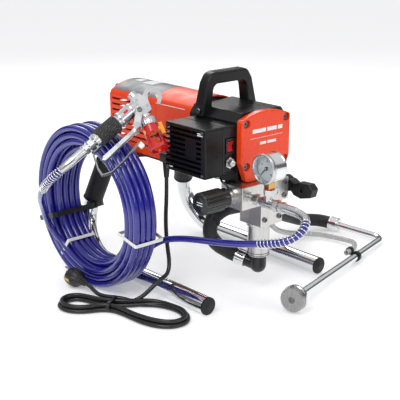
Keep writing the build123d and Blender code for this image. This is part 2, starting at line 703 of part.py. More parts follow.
LEVER_X = (52.0, 68.0)
with BuildPart() as prime_lever:
    with BuildSketch(face_x(LEVER_X[0])):
        with Locations((PORT_Y, PORT_Z - 3)):
            Circle(14.5)
        with BuildLine():
            Polyline((6, 170), (-22, 171), (-28, 165), (-44, 162), (-66, 168), (-70, 182), (-62, 190),
                     (-38, 189), (-30, 186), (-22, 190), (6, 192), close=True)
        make_face()
        with Locations((-45, 176)):
            Circle(3.2, mode=Mode.SUBTRACT)
    extrude(amount=LEVER_X[1] - LEVER_X[0])
    chamfer(prime_lever.faces().filter_by(Axis.X).edges().filter_by(lambda e: e.length > 8), 1)
    with BuildSketch(face_x(LEVER_X[0])):
        with Locations((PORT_Y, PORT_Z - 3)):
            Circle(4 + RUNNING)
    extrude(amount=LEVER_X[1] - LEVER_X[0], mode=Mode.SUBTRACT)
save(prime_lever, "prime_lever")


# ---------------------------------------------------------------- outlet, tee and gauge
def forward(y):
    """Plane on the outlet's axis at y, facing -Y."""
    return Plane(origin=(OUTLET_X, y, PORT_Z), x_dir=(1, 0, 0), z_dir=(0, -1, 0))


def hexagon(plane, radius, depth):
    """Hexagonal nut on a plane, inside the current part."""
    with BuildSketch(plane) as profile:
        RegularPolygon(radius, 6)
    extrude(profile.sketch, amount=depth)


TEE_HALF = 14.0
with BuildPart() as outlet_tee:
    disc(forward(BLOCK_Y[0]), 8.5, 3)
    disc(forward(BLOCK_Y[0] - 3), 6.5, 9)
    hexagon(forward(BLOCK_Y[0] - 12), 9.5, 10)
    disc(forward(BLOCK_Y[0] - 22), 6.5, BLOCK_Y[0] - 22 - TEE_Y - TEE_HALF)
    disc(forward(TEE_Y + TEE_HALF), 8.5, 2 * TEE_HALF)
    disc(Plane.XY.offset(PORT_Z).shift_origin((OUTLET_X, TEE_Y, PORT_Z)), 7.5, 14)
    hexagon(Plane.XY.offset(PORT_Z + 14).shift_origin((OUTLET_X, TEE_Y, PORT_Z + 14)), 9.5, 9)
    hexagon(forward(TEE_Y - TEE_HALF), 10, 9)
    disc(forward(TEE_Y - TEE_HALF - 9), 6.5, 3)
    disc(Plane.XY.offset(PORT_Z + 23).shift_origin((OUTLET_X, TEE_Y, PORT_Z + 23)), 7, 2)
    with BuildSketch(Plane.XY.offset(PORT_Z + 25).shift_origin((OUTLET_X, TEE_Y, PORT_Z + 25))):
        Rectangle(12, 12)
    extrude(amount=GAUGE_Z - GAUGE_R - PORT_Z - 24)
save(outlet_tee, "outlet_tee")



def gauge_plane(x):
    """Plane on the gauge's axis at x, facing -X."""
    return Plane(origin=(x, TEE_Y, GAUGE_Z), x_dir=(0, -1, 0), z_dir=(-1, 0, 0))


with BuildPart() as gauge_case:
    disc(gauge_plane(GAUGE_X[1]), GAUGE_R, GAUGE_X[1] - GAUGE_X[0])
    disc(gauge_plane(GAUGE_X[1]), GAUGE_R + 0.8, 3)
    disc(gauge_plane(GAUGE_X[0] + 5), GAUGE_R + 1, 5)
    fillet(gauge_case.edges().filter_by(GeomType.CIRCLE).sort_by(Axis.X)[-1], 2)
    disc_r = GAUGE_R - 2.5
    with BuildSketch(gauge_plane(GAUGE_X[0] + 10)):
        Circle(disc_r)
    extrude(amount=10, mode=Mode.SUBTRACT)
    stem_socket = (OUTLET_X, TEE_Y, GAUGE_Z - GAUGE_R - 2)
    with BuildSketch(Plane(origin=stem_socket, z_dir=(0, 0, 1))):
        Rectangle(12.4, 12.4)
    extrude(amount=3.2, mode=Mode.SUBTRACT)
    disc(gauge_plane(GAUGE_X[0] + 10), 1.5, 5)
save(gauge_case, "gauge_case")

with BuildPart() as gauge_lens:
    disc(gauge_plane(GAUGE_X[0] + 3.2), disc_r - 0.1, 2)
save(gauge_lens, "gauge_lens")

NEEDLE_REST_DEG = -135.0
with BuildPart() as gauge_needle:
    with BuildSketch(gauge_plane(GAUGE_X[0] + 7.5)):
        Circle(3)
        with BuildLine():
            start = radians(NEEDLE_REST_DEG)
            tip = (19 * cos(start), 19 * sin(start))
            side = (1.3 * sin(start), -1.3 * cos(start))
            Polyline(tip, side, (-6 * cos(start), -6 * sin(start)), (-side[0], -side[1]), close=True)
        make_face()
        Circle(1.5 + RUNNING, mode=Mode.SUBTRACT)
    extrude(amount=0.8)
save(gauge_needle, "gauge_needle")


# ---------------------------------------------------------------- suction set
ELBOW_Z = 46.0
SUCTION_DIR = Vector(-0.36, 0.9, 0.24).normalized()
ELBOW_CENTRE = Vector(0, 0, ELBOW_Z)
ELBOW_OUTLET = 23.0
FERRULE_START = ELBOW_CENTRE + SUCTION_DIR * ELBOW_OUTLET
FERRULE_LENGTH = 18.0
PIPE_START = Vector(330, 100, 14.8)
PIPE_CORNER = Vector(350, 4, 8)
PIPE_END = Vector(-13, -102, STRAINER_R + 0.5)
PIPE_DIR = (PIPE_END - PIPE_CORNER).normalized()
PIPE_START_DIR = (PIPE_CORNER - PIPE_START).normalized()

with BuildPart() as suction_elbow:
    disc(Plane.XY.offset(ELBOW_Z), 14, CYLINDER_Z - ELBOW_Z - 0.1)
    with Locations((0, 0, ELBOW_Z)):
        Sphere(14)
    disc(at(ELBOW_CENTRE, SUCTION_DIR), 11.5, ELBOW_OUTLET)
    disc(at(FERRULE_START, SUCTION_DIR), 7, 12)
save(suction_elbow, "suction_elbow")

with BuildPart() as suction_ferrules:
    ring(at(FERRULE_START, SUCTION_DIR), SUCTION_FERRULE_R, SUCTION_HOSE_R + 0.1, FERRULE_LENGTH)
    ring(at(PIPE_START, -PIPE_START_DIR), SUCTION_FERRULE_R, SUCTION_HOSE_R + 0.1, FERRULE_LENGTH)
    ring(at(PIPE_START, PIPE_START_DIR), SUCTION_FERRULE_R - 1, PIPE_R + 0.05, 3)
save(suction_ferrules, "suction_ferrules")

hose_start = FERRULE_START + SUCTION_DIR * 0.2
hose_end = PIPE_START - PIPE_START_DIR * 0.2
SUCTION_ROUTE = [
    tuple(hose_start), tuple(hose_start + SUCTION_DIR * 30), (-38, 62, 74), (-50, 66, 92), (-51, 66, 110),
    (-42, 65, 125), (-20, 64, 134), (14, 66, 132), (60, 76, 119), (118, 98, 96), (178, 126, 68),
    (236, 148, 42), (282, 156, 23), tuple(hose_end - PIPE_START_DIR * 42), tuple(hose_end),
]
route_tube("suction_hose", SUCTION_ROUTE, SUCTION_HOSE_R, SUCTION_HOSE_R - 3.4)

with BuildPart() as suction_pipe:
    with BuildLine() as pipe_path:
        FilletPolyline(tuple(PIPE_START), tuple(PIPE_CORNER), tuple(PIPE_END), radius=24)
    with BuildSketch(at(pipe_path.line @ 0, pipe_path.line % 0)):
        Circle(PIPE_R)
        Circle(PIPE_R - 1.5, mode=Mode.SUBTRACT)
    sweep(path=pipe_path.line)
save(suction_pipe, "suction_pipe")

with BuildPart() as suction_strainer:
    ring(at(PIPE_END - PIPE_DIR * 10, PIPE_DIR), 10, PIPE_R + 0.05, 10)
    ring(at(PIPE_END, PIPE_DIR), STRAINER_R - 2, 5, 3)
    ring(at(PIPE_END + PIPE_DIR * 3, PIPE_DIR), STRAINER_R, 5, 5)
    disc(at(PIPE_END + PIPE_DIR * 8, PIPE_DIR), STRAINER_R, 8)
    fillet(suction_strainer.edges().filter_by(GeomType.CIRCLE).sort_by(Axis.X)[0], 3)
    disc(at(PIPE_END + PIPE_DIR * 16, PIPE_DIR), 4.5, 2.5)
save(suction_strainer, "suction_strainer")

CLIP_FROM_CORNER = 128.0
clip_centre = PIPE_CORNER + PIPE_DIR * CLIP_FROM_CORNER
clip_side = (Vector(0, 0, 0.55) + Vector(PIPE_DIR.Y, -PIPE_DIR.X, 0) * 0.85)
clip_side = (clip_side - PIPE_DIR * clip_side.dot(PIPE_DIR)).normalized()
CLIP_GAP = 15.5
clip_plane = Plane(origin=clip_centre, x_dir=clip_side, z_dir=PIPE_DIR)
with BuildPart() as return_tube_clip:
    with BuildSketch(clip_plane):
        Circle(PIPE_R + 2.5)
        with Locations((CLIP_GAP, 0)):
            Circle(RETURN_R + 2)
        with Locations((CLIP_GAP / 2, 0)):
            Rectangle(CLIP_GAP / 2, 6)
        Circle(PIPE_R + 0.05, mode=Mode.SUBTRACT)
        with Locations((CLIP_GAP, 0)):
            Circle(RETURN_R + 0.05, mode=Mode.SUBTRACT)
    extrude(amount=8)
save(return_tube_clip, "return_tube_clip")

return_clip = clip_centre + clip_side * CLIP_GAP
return_end = return_clip + PIPE_DIR * 20
return_lead = return_clip - PIPE_DIR * 18
VALVE_SPOUT_DIR = Vector(0, 0.6, -0.8)
valve_spout = Vector(BLOCK_X[1] + 7, PORT_Y + 6, PORT_Z - 8) + VALVE_SPOUT_DIR * 12.1
RETURN_ROUTE = [
    tuple(valve_spout), tuple(valve_spout + VALVE_SPOUT_DIR * 24), (72, 50, 110), (106, 76, 76),
    (150, 100, 46), (200, 118, 24), (246, 122, 11), (276, 102, 7), (288, 66, 7), (286, 30, 10),
    (268, 6, 16), tuple(return_lead), tuple(return_end),
]
route_tube("return_tube", RETURN_ROUTE, RETURN_R, RETURN_R - 1.5)


# ---------------------------------------------------------------- spray gun
def handle_plane(u):
    """Plane across the handle at a distance u from the trigger's pivot."""
    return Plane(origin=gun_point(u, 0), x_dir=GUN.y_dir, z_dir=GUN.x_dir)


HEAD_HALF_W = 9.0
TRIGGER_PIVOT = (14.0, 12.0)
GRIP_U = (53.0, 95.0)
with BuildPart() as gun_body:
    with BuildSketch(GUN.offset(-HEAD_HALF_W)):
        with BuildLine():
            Polyline((-8, -12), (4, -13), (14, -9), (17, 4), (22, 14), (14, 24), (-2, 24), (-10, 8),
                     close=True)
        make_face()
        fillet(vertices(), 2.5)
    extrude(amount=2 * HEAD_HALF_W)
    with BuildSketch(GUN.offset(-4)):
        with BuildLine():
            Polyline((-6, -4), (-24, -11), (-36, -2), (-39, 8), (-32, 18), (-25, 23), (-21, 19), (-28, 12),
                     (-31, 5), (-25, -3), (-20, -2), (-8, 10), close=True)
        make_face()
        fillet(vertices(), 1)
    extrude(amount=8)
    disc(handle_plane(10), 11, 8)
    disc(handle_plane(18), 12.5, 30)
    disc(handle_plane(48), 11, GRIP_U[0] - 48)
    disc(handle_plane(GRIP_U[0]), 8, GRIP_U[1] - GRIP_U[0])
    disc(handle_plane(GRIP_U[1]), 11.5, 8)
    disc(nozzle_plane(0), 8, 24)
    with BuildSketch(nozzle_plane(24)):
        Circle(3)
    extrude(amount=-20, mode=Mode.SUBTRACT)
    disc(Plane(origin=gun_point(-1, -12), x_dir=GUN.z_dir, z_dir=-GUN.y_dir), 8, 8)
    disc(GUN.offset(-13).shift_origin(gun_point(*TRIGGER_PIVOT, -13)), 1.95, 26)
save(gun_body, "gun_body")

with BuildPart() as gun_grip:
    ring(handle_plane(GRIP_U[0] + 0.1), GUN_GRIP_R, 8.05, GRIP_U[1] - GRIP_U[0] - 0.2)
    fillet(gun_grip.edges().filter_by(lambda e: e.geom_type == GeomType.CIRCLE and e.radius > 10), 2)
save(gun_grip, "gun_grip")

with BuildPart() as gun_inlet_fitting:
    disc(handle_plane(GRIP_U[1] + 8), 6.5, 3)
    with BuildSketch(handle_plane(GRIP_U[1] + 11)) as swivel_nut:
        RegularPolygon(10, 6)
    extrude(amount=9)
    disc(handle_plane(GRIP_U[1] + 20), 6.5, 3)
    with BuildSketch(handle_plane(GRIP_U[1] + 23)) as hose_nut:
        RegularPolygon(9.5, 6)
    extrude(amount=7)
save(gun_inlet_fitting, "gun_inlet_fitting")

GUARD_WIDTH = 8.0
with BuildPart() as trigger_guard:
    with BuildLine(GUN) as guard_line:
        FilletPolyline((101, 12.8), (118, 13.6), (131, 38), (134, 51), (120, 57), (93, 56),
                       (57, 50.5), (49, 49), radius=3)
    guard_start = guard_line.line @ 0
    with BuildSketch(Plane(origin=guard_start, x_dir=GUN.z_dir, z_dir=guard_line.line % 0)):
        Rectangle(GUARD_WIDTH, 2.2)
    sweep(path=guard_line.line)
save(trigger_guard, "trigger_guard")

with BuildPart() as trigger:
    with BuildSketch(GUN.offset(HEAD_HALF_W + 0.4)) as ear:
        with BuildLine():
            Polyline((9, 9), (15, 6.5), (40, 24), (44, 32), (34, 34), (9, 15), close=True)
        make_face()
        with Locations(TRIGGER_PIVOT):
            Circle(2.02, mode=Mode.SUBTRACT)
    extrude(amount=2.6)
    extrude(ear.sketch.moved(Location(GUN.z_dir * (-2 * HEAD_HALF_W - 3.4))), amount=2.6)
    with BuildSketch(GUN.offset(-HEAD_HALF_W - 3)) as bridge:
        with BuildLine():
            Polyline((36, 25.5), (42, 27.5), (44, 33), (36, 33), close=True)
        make_face()
    extrude(amount=2 * HEAD_HALF_W + 6)
    with BuildSketch(GUN.offset(-5)) as blade:
        with BuildLine():
            Polyline((38, 27), (70, 28), (112, 29), (117, 33), (113, 37), (70, 34.5), (40, 33), close=True)
        make_face()
    extrude(amount=10)
    with BuildSketch(GUN.offset(-2)) as groove:
        with BuildLine():
            Polyline((46, 31), (108, 34), (108, 40), (46, 40), close=True)
        make_face()
    extrude(amount=4, mode=Mode.SUBTRACT)
save(trigger, "trigger")

with BuildPart() as gun_needle:
    disc(nozzle_plane(7.5), 2.9, 14)
save(gun_needle, "gun_needle")

GUARD_START = 24.3
with BuildPart() as tip_guard:
    ring(nozzle_plane(GUARD_START - 12), 13, 8.1, 14)
    ring(nozzle_plane(GUARD_START + 2), 12, 6, 10)
    with BuildSketch(nozzle_plane(GUARD_START + 12)):
        Circle(12)
    with BuildSketch(nozzle_plane(GUARD_START + 44)):
        Circle(16)
    loft()
    with BuildSketch(nozzle_plane(GUARD_START + 12)):
        Circle(8)
    with BuildSketch(nozzle_plane(GUARD_START + 44)):
        Circle(13)
    loft(mode=Mode.SUBTRACT)
    window = nozzle_plane(GUARD_START + 28)
    with BuildSketch(Plane(origin=window.origin, x_dir=window.z_dir, z_dir=window.y_dir)):
        SlotOverall(24, 17)
    extrude(amount=20, both=True, mode=Mode.SUBTRACT)
    with BuildSketch(Plane(origin=window.origin, x_dir=window.z_dir, z_dir=window.x_dir)):
        with Locations((-18, 0)):
            Circle(5 + RUNNING)
    extrude(amount=20, both=True, mode=Mode.SUBTRACT)
save(tip_guard, "tip_guard")

with BuildPart() as spray_tip:
    seat = nozzle_plane(GUARD_START + 10)
    across = Plane(origin=seat.origin + seat.x_dir * 13, x_dir=seat.z_dir, z_dir=-seat.x_dir)
    disc(across, 5, 27)
    with BuildSketch(across.offset(27)):
        RectangleRounded(22, 7, 2)
    extrude(amount=6)
save(spray_tip, "spray_tip")


# ---------------------------------------------------------------- blue hose
HOSE_START_Y = TEE_Y - TEE_HALF - 12
HOSE_NUT = 8.0
HOSE_FERRULE = 22.0
gun_ferrule_u = GRIP_U[1] + 30
GUN_HOSE_LEAD = 42.0

with BuildPart() as hose_fittings:
    hexagon(forward(HOSE_START_Y), 9.5, HOSE_NUT)
    ring(forward(HOSE_START_Y - HOSE_NUT), 7.5, BLUE_HOSE_R + 0.05, HOSE_FERRULE)
    ring(handle_plane(gun_ferrule_u), 7.5, BLUE_HOSE_R + 0.05, HOSE_FERRULE)
save(hose_fittings, "hose_fittings")

PUMP_ROUTE = [
    (OUTLET_X, HOSE_START_Y - HOSE_NUT - 0.1, PORT_Z), (OUTLET_X, -144, PORT_Z), (-62, -161, 176),
    (-79, -168, 166), (-96, -161, 156), (-107, -142, 149), (-113, -114, 142), (-119, -70, 131),
    (-123, -20, 122), (-125, 28, 114), (-130, 66, 106), (-141, 91, 98), (-153.5, 107, 87),
]
route_tube("hose_run_pump", PUMP_ROUTE, BLUE_HOSE_R)

gun_hose_start = gun_point(gun_ferrule_u + 0.1, 0)
gun_hose_lead = gun_point(gun_ferrule_u + GUN_HOSE_LEAD, 0)
GUN_ROUTE = [
    tuple(gun_hose_start), tuple(gun_hose_lead), (-301, 173, 211), (-291, 207, 186), (-274, 240, 163),
    (-252, 270, 139), (-233, 294, 110), (-218, 300, 82), (-206.5, 287, 58),
]
route_tube("hose_run_gun", GUN_ROUTE, BLUE_HOSE_R)

with BuildPart() as hose_coil:
    ring(face_x(COIL_X[0]).shift_origin((COIL_X[0], COIL_Y, COIL_Z)), COIL_R[1], COIL_R[0],
         COIL_X[1] - COIL_X[0])
    fillet(hose_coil.edges().filter_by(GeomType.CIRCLE), 4)
save(hose_coil, "hose_coil")

COIL_TIE_ANGLES = (-52.0, -167.0)
with BuildPart() as hose_ties:
    for angle in COIL_TIE_ANGLES:
        radial = Vector(0, cos(radians(angle)), sin(radians(angle)))
        middle = Vector((COIL_X[0] + COIL_X[1]) / 2, COIL_Y, COIL_Z) + radial * (sum(COIL_R) / 2)
        with BuildSketch(Plane(origin=middle, x_dir=(1, 0, 0), z_dir=Vector(1, 0, 0).cross(radial))) as band:
            inner_w = COIL_X[1] - COIL_X[0] + 0.4
            inner_h = COIL_R[1] - COIL_R[0] + 0.6
            RectangleRounded(inner_w + 2.4, inner_h + 2.4, 3)
            RectangleRounded(inner_w, inner_h, 1, mode=Mode.SUBTRACT)
        extrude(amount=3, both=True)
save(hose_ties, "hose_ties")


# ---------------------------------------------------------------- power cord
HANK_HEIGHT = 15.0
drop_start = (GLAND[0], GLAND[1], GLAND[2] - STRAIN_RELIEF_LENGTH)
CORD_DROP_ROUTE = [
    drop_start, (GLAND[0], GLAND[1], 168), (-121, 99, 128), (-125, 91, 88), (-127, 82, 60), (-136, 75, 43),
    (-153, 71, 40), (-170, 72, 31), (-184, 76, 19), (-194, 80, 9),
]
route_tube("cord_drop", CORD_DROP_ROUTE, CORD_R)

with BuildPart() as cord_hank:
    with BuildSketch(Plane.XY):
        with BuildLine():
            Polyline((-298, 176), (-306, 160), (-272, 104), (-248, 62), (-236, 6), (-214, -32), (-186, -34),
                     (-160, -14), (-153, 14), (-155, 46), (-172, 72), (-196, 88), (-214, 106),
                     (-238, 148), (-272, 180), close=True)
        make_face()
        fillet(vertices(), 6)
    extrude(amount=HANK_HEIGHT)
    with BuildSketch(Plane.XY):
        with BuildLine():
            Polyline((-226, 48), (-216, 4), (-200, -14), (-184, -10), (-174, 10), (-176, 38), (-196, 58),
                     close=True)
        make_face()
        fillet(vertices(), 5)
    extrude(amount=HANK_HEIGHT, mode=Mode.SUBTRACT)
save(cord_hank, "cord_hank")

PLUG_DIR = Vector(0.05, 1.0, 0.0).normalized()
PLUG_R = 16.0
PLUG_NECK = 22.0
PLUG_FLARE = 32.0
PLUG_LENGTH = 48.0
plug_back = Vector(-229, 181, PLUG_R + 0.6)
CORD_PLUG_ROUTE = [
    (-233, 126, 7), (-232.6, 141, 9.2), (-231.2, 155.5, 13), tuple(plug_back - PLUG_DIR * 12),
    tuple(plug_back),
]
PLUG_PIN_R = 2.4
PLUG_PIN_LENGTH = 19.0
PLUG_PIN_SPACING = 19.0

with BuildPart() as power_plug:
    with BuildSketch(at(plug_back, PLUG_DIR)):
        Circle(CORD_R + 1)
    with BuildSketch(at(plug_back + PLUG_DIR * PLUG_NECK, PLUG_DIR)):
        Circle(9)
    loft()
    with BuildSketch(at(plug_back + PLUG_DIR * PLUG_NECK, PLUG_DIR)):
        Circle(9)
    with BuildSketch(at(plug_back + PLUG_DIR * PLUG_FLARE, PLUG_DIR)):
        Circle(PLUG_R)
    loft()
    disc(at(plug_back + PLUG_DIR * PLUG_FLARE, PLUG_DIR), PLUG_R, PLUG_LENGTH - PLUG_FLARE)
    pin_face = Plane(origin=plug_back + PLUG_DIR * PLUG_LENGTH, x_dir=(0, 0, 1), z_dir=PLUG_DIR)
    with BuildSketch(pin_face):
        with GridLocations(PLUG_PIN_SPACING, 0, 2, 1):
            Circle(PLUG_PIN_R)
    extrude(amount=PLUG_PIN_LENGTH)
save(power_plug, "power_plug")
route_tube("cord_plug_run", CORD_PLUG_ROUTE, CORD_R)


# ---------------------------------------------------------------- sensor cable
SENSOR_ROUTE = [
    (-76, 14, BOX_Z[0] - 0.1), (-76, 14, 212), (-78, 8, 206), (-76, 2, 203.5), (-75.5, -3.5, 200),
    (-75.5, PORT_Y, 193.5),
]
route_tube("sensor_cable", SENSOR_ROUTE, 1.8)
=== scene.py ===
from math import cos, pi, radians, sin, sqrt

import bmesh
import bpy
from mathutils import Matrix, Vector


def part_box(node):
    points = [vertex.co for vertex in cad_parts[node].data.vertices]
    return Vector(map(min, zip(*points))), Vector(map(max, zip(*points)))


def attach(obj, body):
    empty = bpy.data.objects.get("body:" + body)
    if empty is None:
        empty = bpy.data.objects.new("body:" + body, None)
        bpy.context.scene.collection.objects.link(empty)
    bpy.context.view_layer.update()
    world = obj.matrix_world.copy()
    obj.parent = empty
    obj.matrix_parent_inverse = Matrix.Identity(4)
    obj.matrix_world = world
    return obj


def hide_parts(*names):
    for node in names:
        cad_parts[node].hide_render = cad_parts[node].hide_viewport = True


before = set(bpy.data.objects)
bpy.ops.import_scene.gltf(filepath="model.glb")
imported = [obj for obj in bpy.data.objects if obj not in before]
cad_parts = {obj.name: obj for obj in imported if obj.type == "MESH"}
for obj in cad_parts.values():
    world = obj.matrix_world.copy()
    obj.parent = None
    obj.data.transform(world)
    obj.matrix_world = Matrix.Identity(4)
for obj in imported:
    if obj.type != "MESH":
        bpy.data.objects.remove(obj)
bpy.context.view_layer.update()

scene = bpy.context.scene
MM = 0.001

# Studio, in metres
LENS_MM = 81.4
CAMERA_PLACE = (-1.0255, -1.0104, 0.6136)
CAMERA_ANGLES_DEG = (72.5, 0, -41.5)
LIT_POINT = (-0.03, 0.1, 0.16)
FLOOR_HALF = 40.0
FLOOR_DROP = 0.0005

# Noise runs from about 0.3 to 0.7, so colour and roughness are spread over that part of it.
NOISE_LOW, NOISE_HIGH = 0.3, 0.7
SMUDGE_FINENESS = 3.1
SPECK_FINENESS = 0.8
SPECK_EDGE = 0.02
BUMP_DEPTH = 0.0006

# Suction pipe and gauge, in mm
PIPE_START = Vector((330, 100, 14.8))
PIPE_CORNER = Vector((350, 4, 8))
PIPE_END = Vector((-13, -102, 22.5))
ELBOW_BASE = Vector((0, 0, 46))
ELBOW_DIRECTION = Vector((-0.36, 0.9, 0.24))
ELBOW_OUTLET = 23
GAUGE_Y, GAUGE_Z = -73, 241
DIAL_START_DEG, DIAL_SWEEP_DEG = 225, 270


def mm(x, y, z):
    """A point given in millimetres, in metres."""
    return Vector((x, y, z)) * MM


# ---------------------------------------------------------------- camera, light and floor
def make_camera():
    """A view from the left front, a little above the object."""
    data = bpy.data.cameras.new("camera")
    data.lens = LENS_MM
    data.sensor_width = 36
    data.clip_end = 100
    camera = bpy.data.objects.new("camera", data)
    camera.location = CAMERA_PLACE
    camera.rotation_euler = [radians(angle) for angle in CAMERA_ANGLES_DEG]
    scene.collection.objects.link(camera)
    scene.camera = camera


def area_light(name, place, target, size, power):
    """One soft studio panel, turned towards a target."""
    data = bpy.data.lights.new(name, "AREA")
    data.shape = "RECTANGLE"
    data.size, data.size_y = size
    data.energy = power
    light = bpy.data.objects.new(name, data)
    light.location = place
    light.rotation_euler = (Vector(target) - Vector(place)).to_track_quat("-Z", "Y").to_euler()
    scene.collection.objects.link(light)


def make_studio():
    """Pale floor, pale surroundings and three soft panels."""
    world = bpy.data.worlds.new("studio")
    world.use_nodes = True
    nodes, link = world.node_tree.nodes, world.node_tree.links.new
    direction = nodes.new("ShaderNodeTexCoord")
    parts = nodes.new("ShaderNodeSeparateXYZ")
    ramp = nodes.new("ShaderNodeValToRGB")
    ramp.color_ramp.elements[0].color = (0.2, 0.2, 0.21, 1)
    ramp.color_ramp.elements[1].color = (1.0, 1.0, 1.0, 1)
    for position, grey in ((0.3, 0.16), (0.42, 0.8)):
        ramp.color_ramp.elements.new(position).color = (grey, grey, grey * 1.02, 1)
    link(direction.outputs["Generated"], parts.inputs["Vector"])
    link(parts.outputs["Z"], ramp.inputs["Fac"])
    link(ramp.outputs["Color"], nodes["Background"].inputs["Color"])
    nodes["Background"].inputs["Strength"].default_value = 0.85
    scene.world = world
    scene.view_settings.view_transform = "Standard"
    area_light("key_panel", (-1.3, -0.5, 1.7), LIT_POINT, (1.0, 1.0), 18)
    area_light("fill_panel", (0.3, -1.9, 0.9), LIT_POINT, (1.4, 0.6), 6)
    area_light("rim_panel", (0.9, 1.7, 1.4), LIT_POINT, (1.2, 0.8), 12)
    floor_mesh = bpy.data.meshes.new("floor")
    corners = [(x, y, 0) for x, y in rectangle(2 * FLOOR_HALF, 2 * FLOOR_HALF)]
    floor_mesh.from_pydata(corners, [], [(0, 1, 2, 3)])
    floor = bpy.data.objects.new("floor", floor_mesh)
    floor.location.z = -FLOOR_DROP
    scene.collection.objects.link(floor)
    floor_mesh.materials.append(surface("studio_floor", (0.86, 0.86, 0.87), 0.7, grain=40, bump=0.0,
                                        mottle=0.01, Emission_Color=(1, 1, 1, 1), Emission_Strength=0.3))


# ---------------------------------------------------------------- materials
def shade_of(colour, factor):
    """A colour made lighter or darker, with its alpha."""
    return tuple(min(1.0, channel * factor) for channel in colour) + (1.0,)


def surface(name, colour, roughness, metallic=0.0, mottle=0.08, grain=900.0, bump=0.06, smudge=0.08,
            stretch=(1, 1, 1), specks=None, blotch=22.0, **sockets):
    """Principled material: blotchy colour, smudged roughness and fine bump, from noise in object space."""
    material = bpy.data.materials.new(name)
    material.use_nodes = True
    nodes = material.node_tree.nodes
    link = material.node_tree.links.new
    shader = nodes["Principled BSDF"]
    shader.inputs["Metallic"].default_value = metallic
    for socket, value in sockets.items():
        shader.inputs[socket.replace("_", " ")].default_value = value
    coordinates = nodes.new("ShaderNodeTexCoord")
    mapping = nodes.new("ShaderNodeMapping")
    mapping.inputs["Scale"].default_value = stretch
    link(coordinates.outputs["Object"], mapping.inputs["Vector"])

    def noise(scale, detail):
        node = nodes.new("ShaderNodeTexNoise")
        node.inputs["Scale"].default_value = scale
        node.inputs["Detail"].default_value = detail
        link(mapping.outputs["Vector"], node.inputs["Vector"])
        return node.outputs["Fac"]

    broad = noise(blotch, 5)
    ramp = nodes.new("ShaderNodeValToRGB")
    ramp.color_ramp.elements[0].position = NOISE_LOW
    ramp.color_ramp.elements[1].position = NOISE_HIGH
    ramp.color_ramp.elements[0].color = shade_of(colour, 1 - mottle)
    ramp.color_ramp.elements[1].color = shade_of(colour, 1 + mottle)
    link(broad, ramp.inputs["Fac"])
    colour_out = ramp.outputs["Color"]
    fine = noise(grain, 4)
    if specks:
        speck_colour, share = specks
        speck_ramp = nodes.new("ShaderNodeValToRGB")
        speck_ramp.color_ramp.elements[0].position = 1 - share - SPECK_EDGE
        speck_ramp.color_ramp.elements[1].position = 1 - share + SPECK_EDGE
        link(noise(grain * SPECK_FINENESS, 1), speck_ramp.inputs["Fac"])
        mix = nodes.new("ShaderNodeMix")
        mix.data_type = "RGBA"
        mix.inputs["B"].default_value = (*speck_colour, 1)
        link(speck_ramp.outputs["Color"], mix.inputs["Factor"])
        link(colour_out, mix.inputs["A"])
        colour_out = mix.outputs["Result"]
    link(colour_out, shader.inputs["Base Color"])
    rough_range = nodes.new("ShaderNodeMapRange")
    rough_range.inputs["From Min"].default_value = NOISE_LOW
    rough_range.inputs["From Max"].default_value = NOISE_HIGH
    rough_range.inputs["To Min"].default_value = max(0.02, roughness - smudge)
    rough_range.inputs["To Max"].default_value = min(1.0, roughness + smudge)
    link(noise(blotch * SMUDGE_FINENESS, 6), rough_range.inputs["Value"])
    link(rough_range.outputs["Result"], shader.inputs["Roughness"])
    if bump:
        bump_node = nodes.new("ShaderNodeBump")
        bump_node.inputs["Strength"].default_value = bump
        bump_node.inputs["Distance"].default_value = BUMP_DEPTH
        link(fine, bump_node.inputs["Height"])
        link(bump_node.outputs["Normal"], shader.inputs["Normal"])
    return material


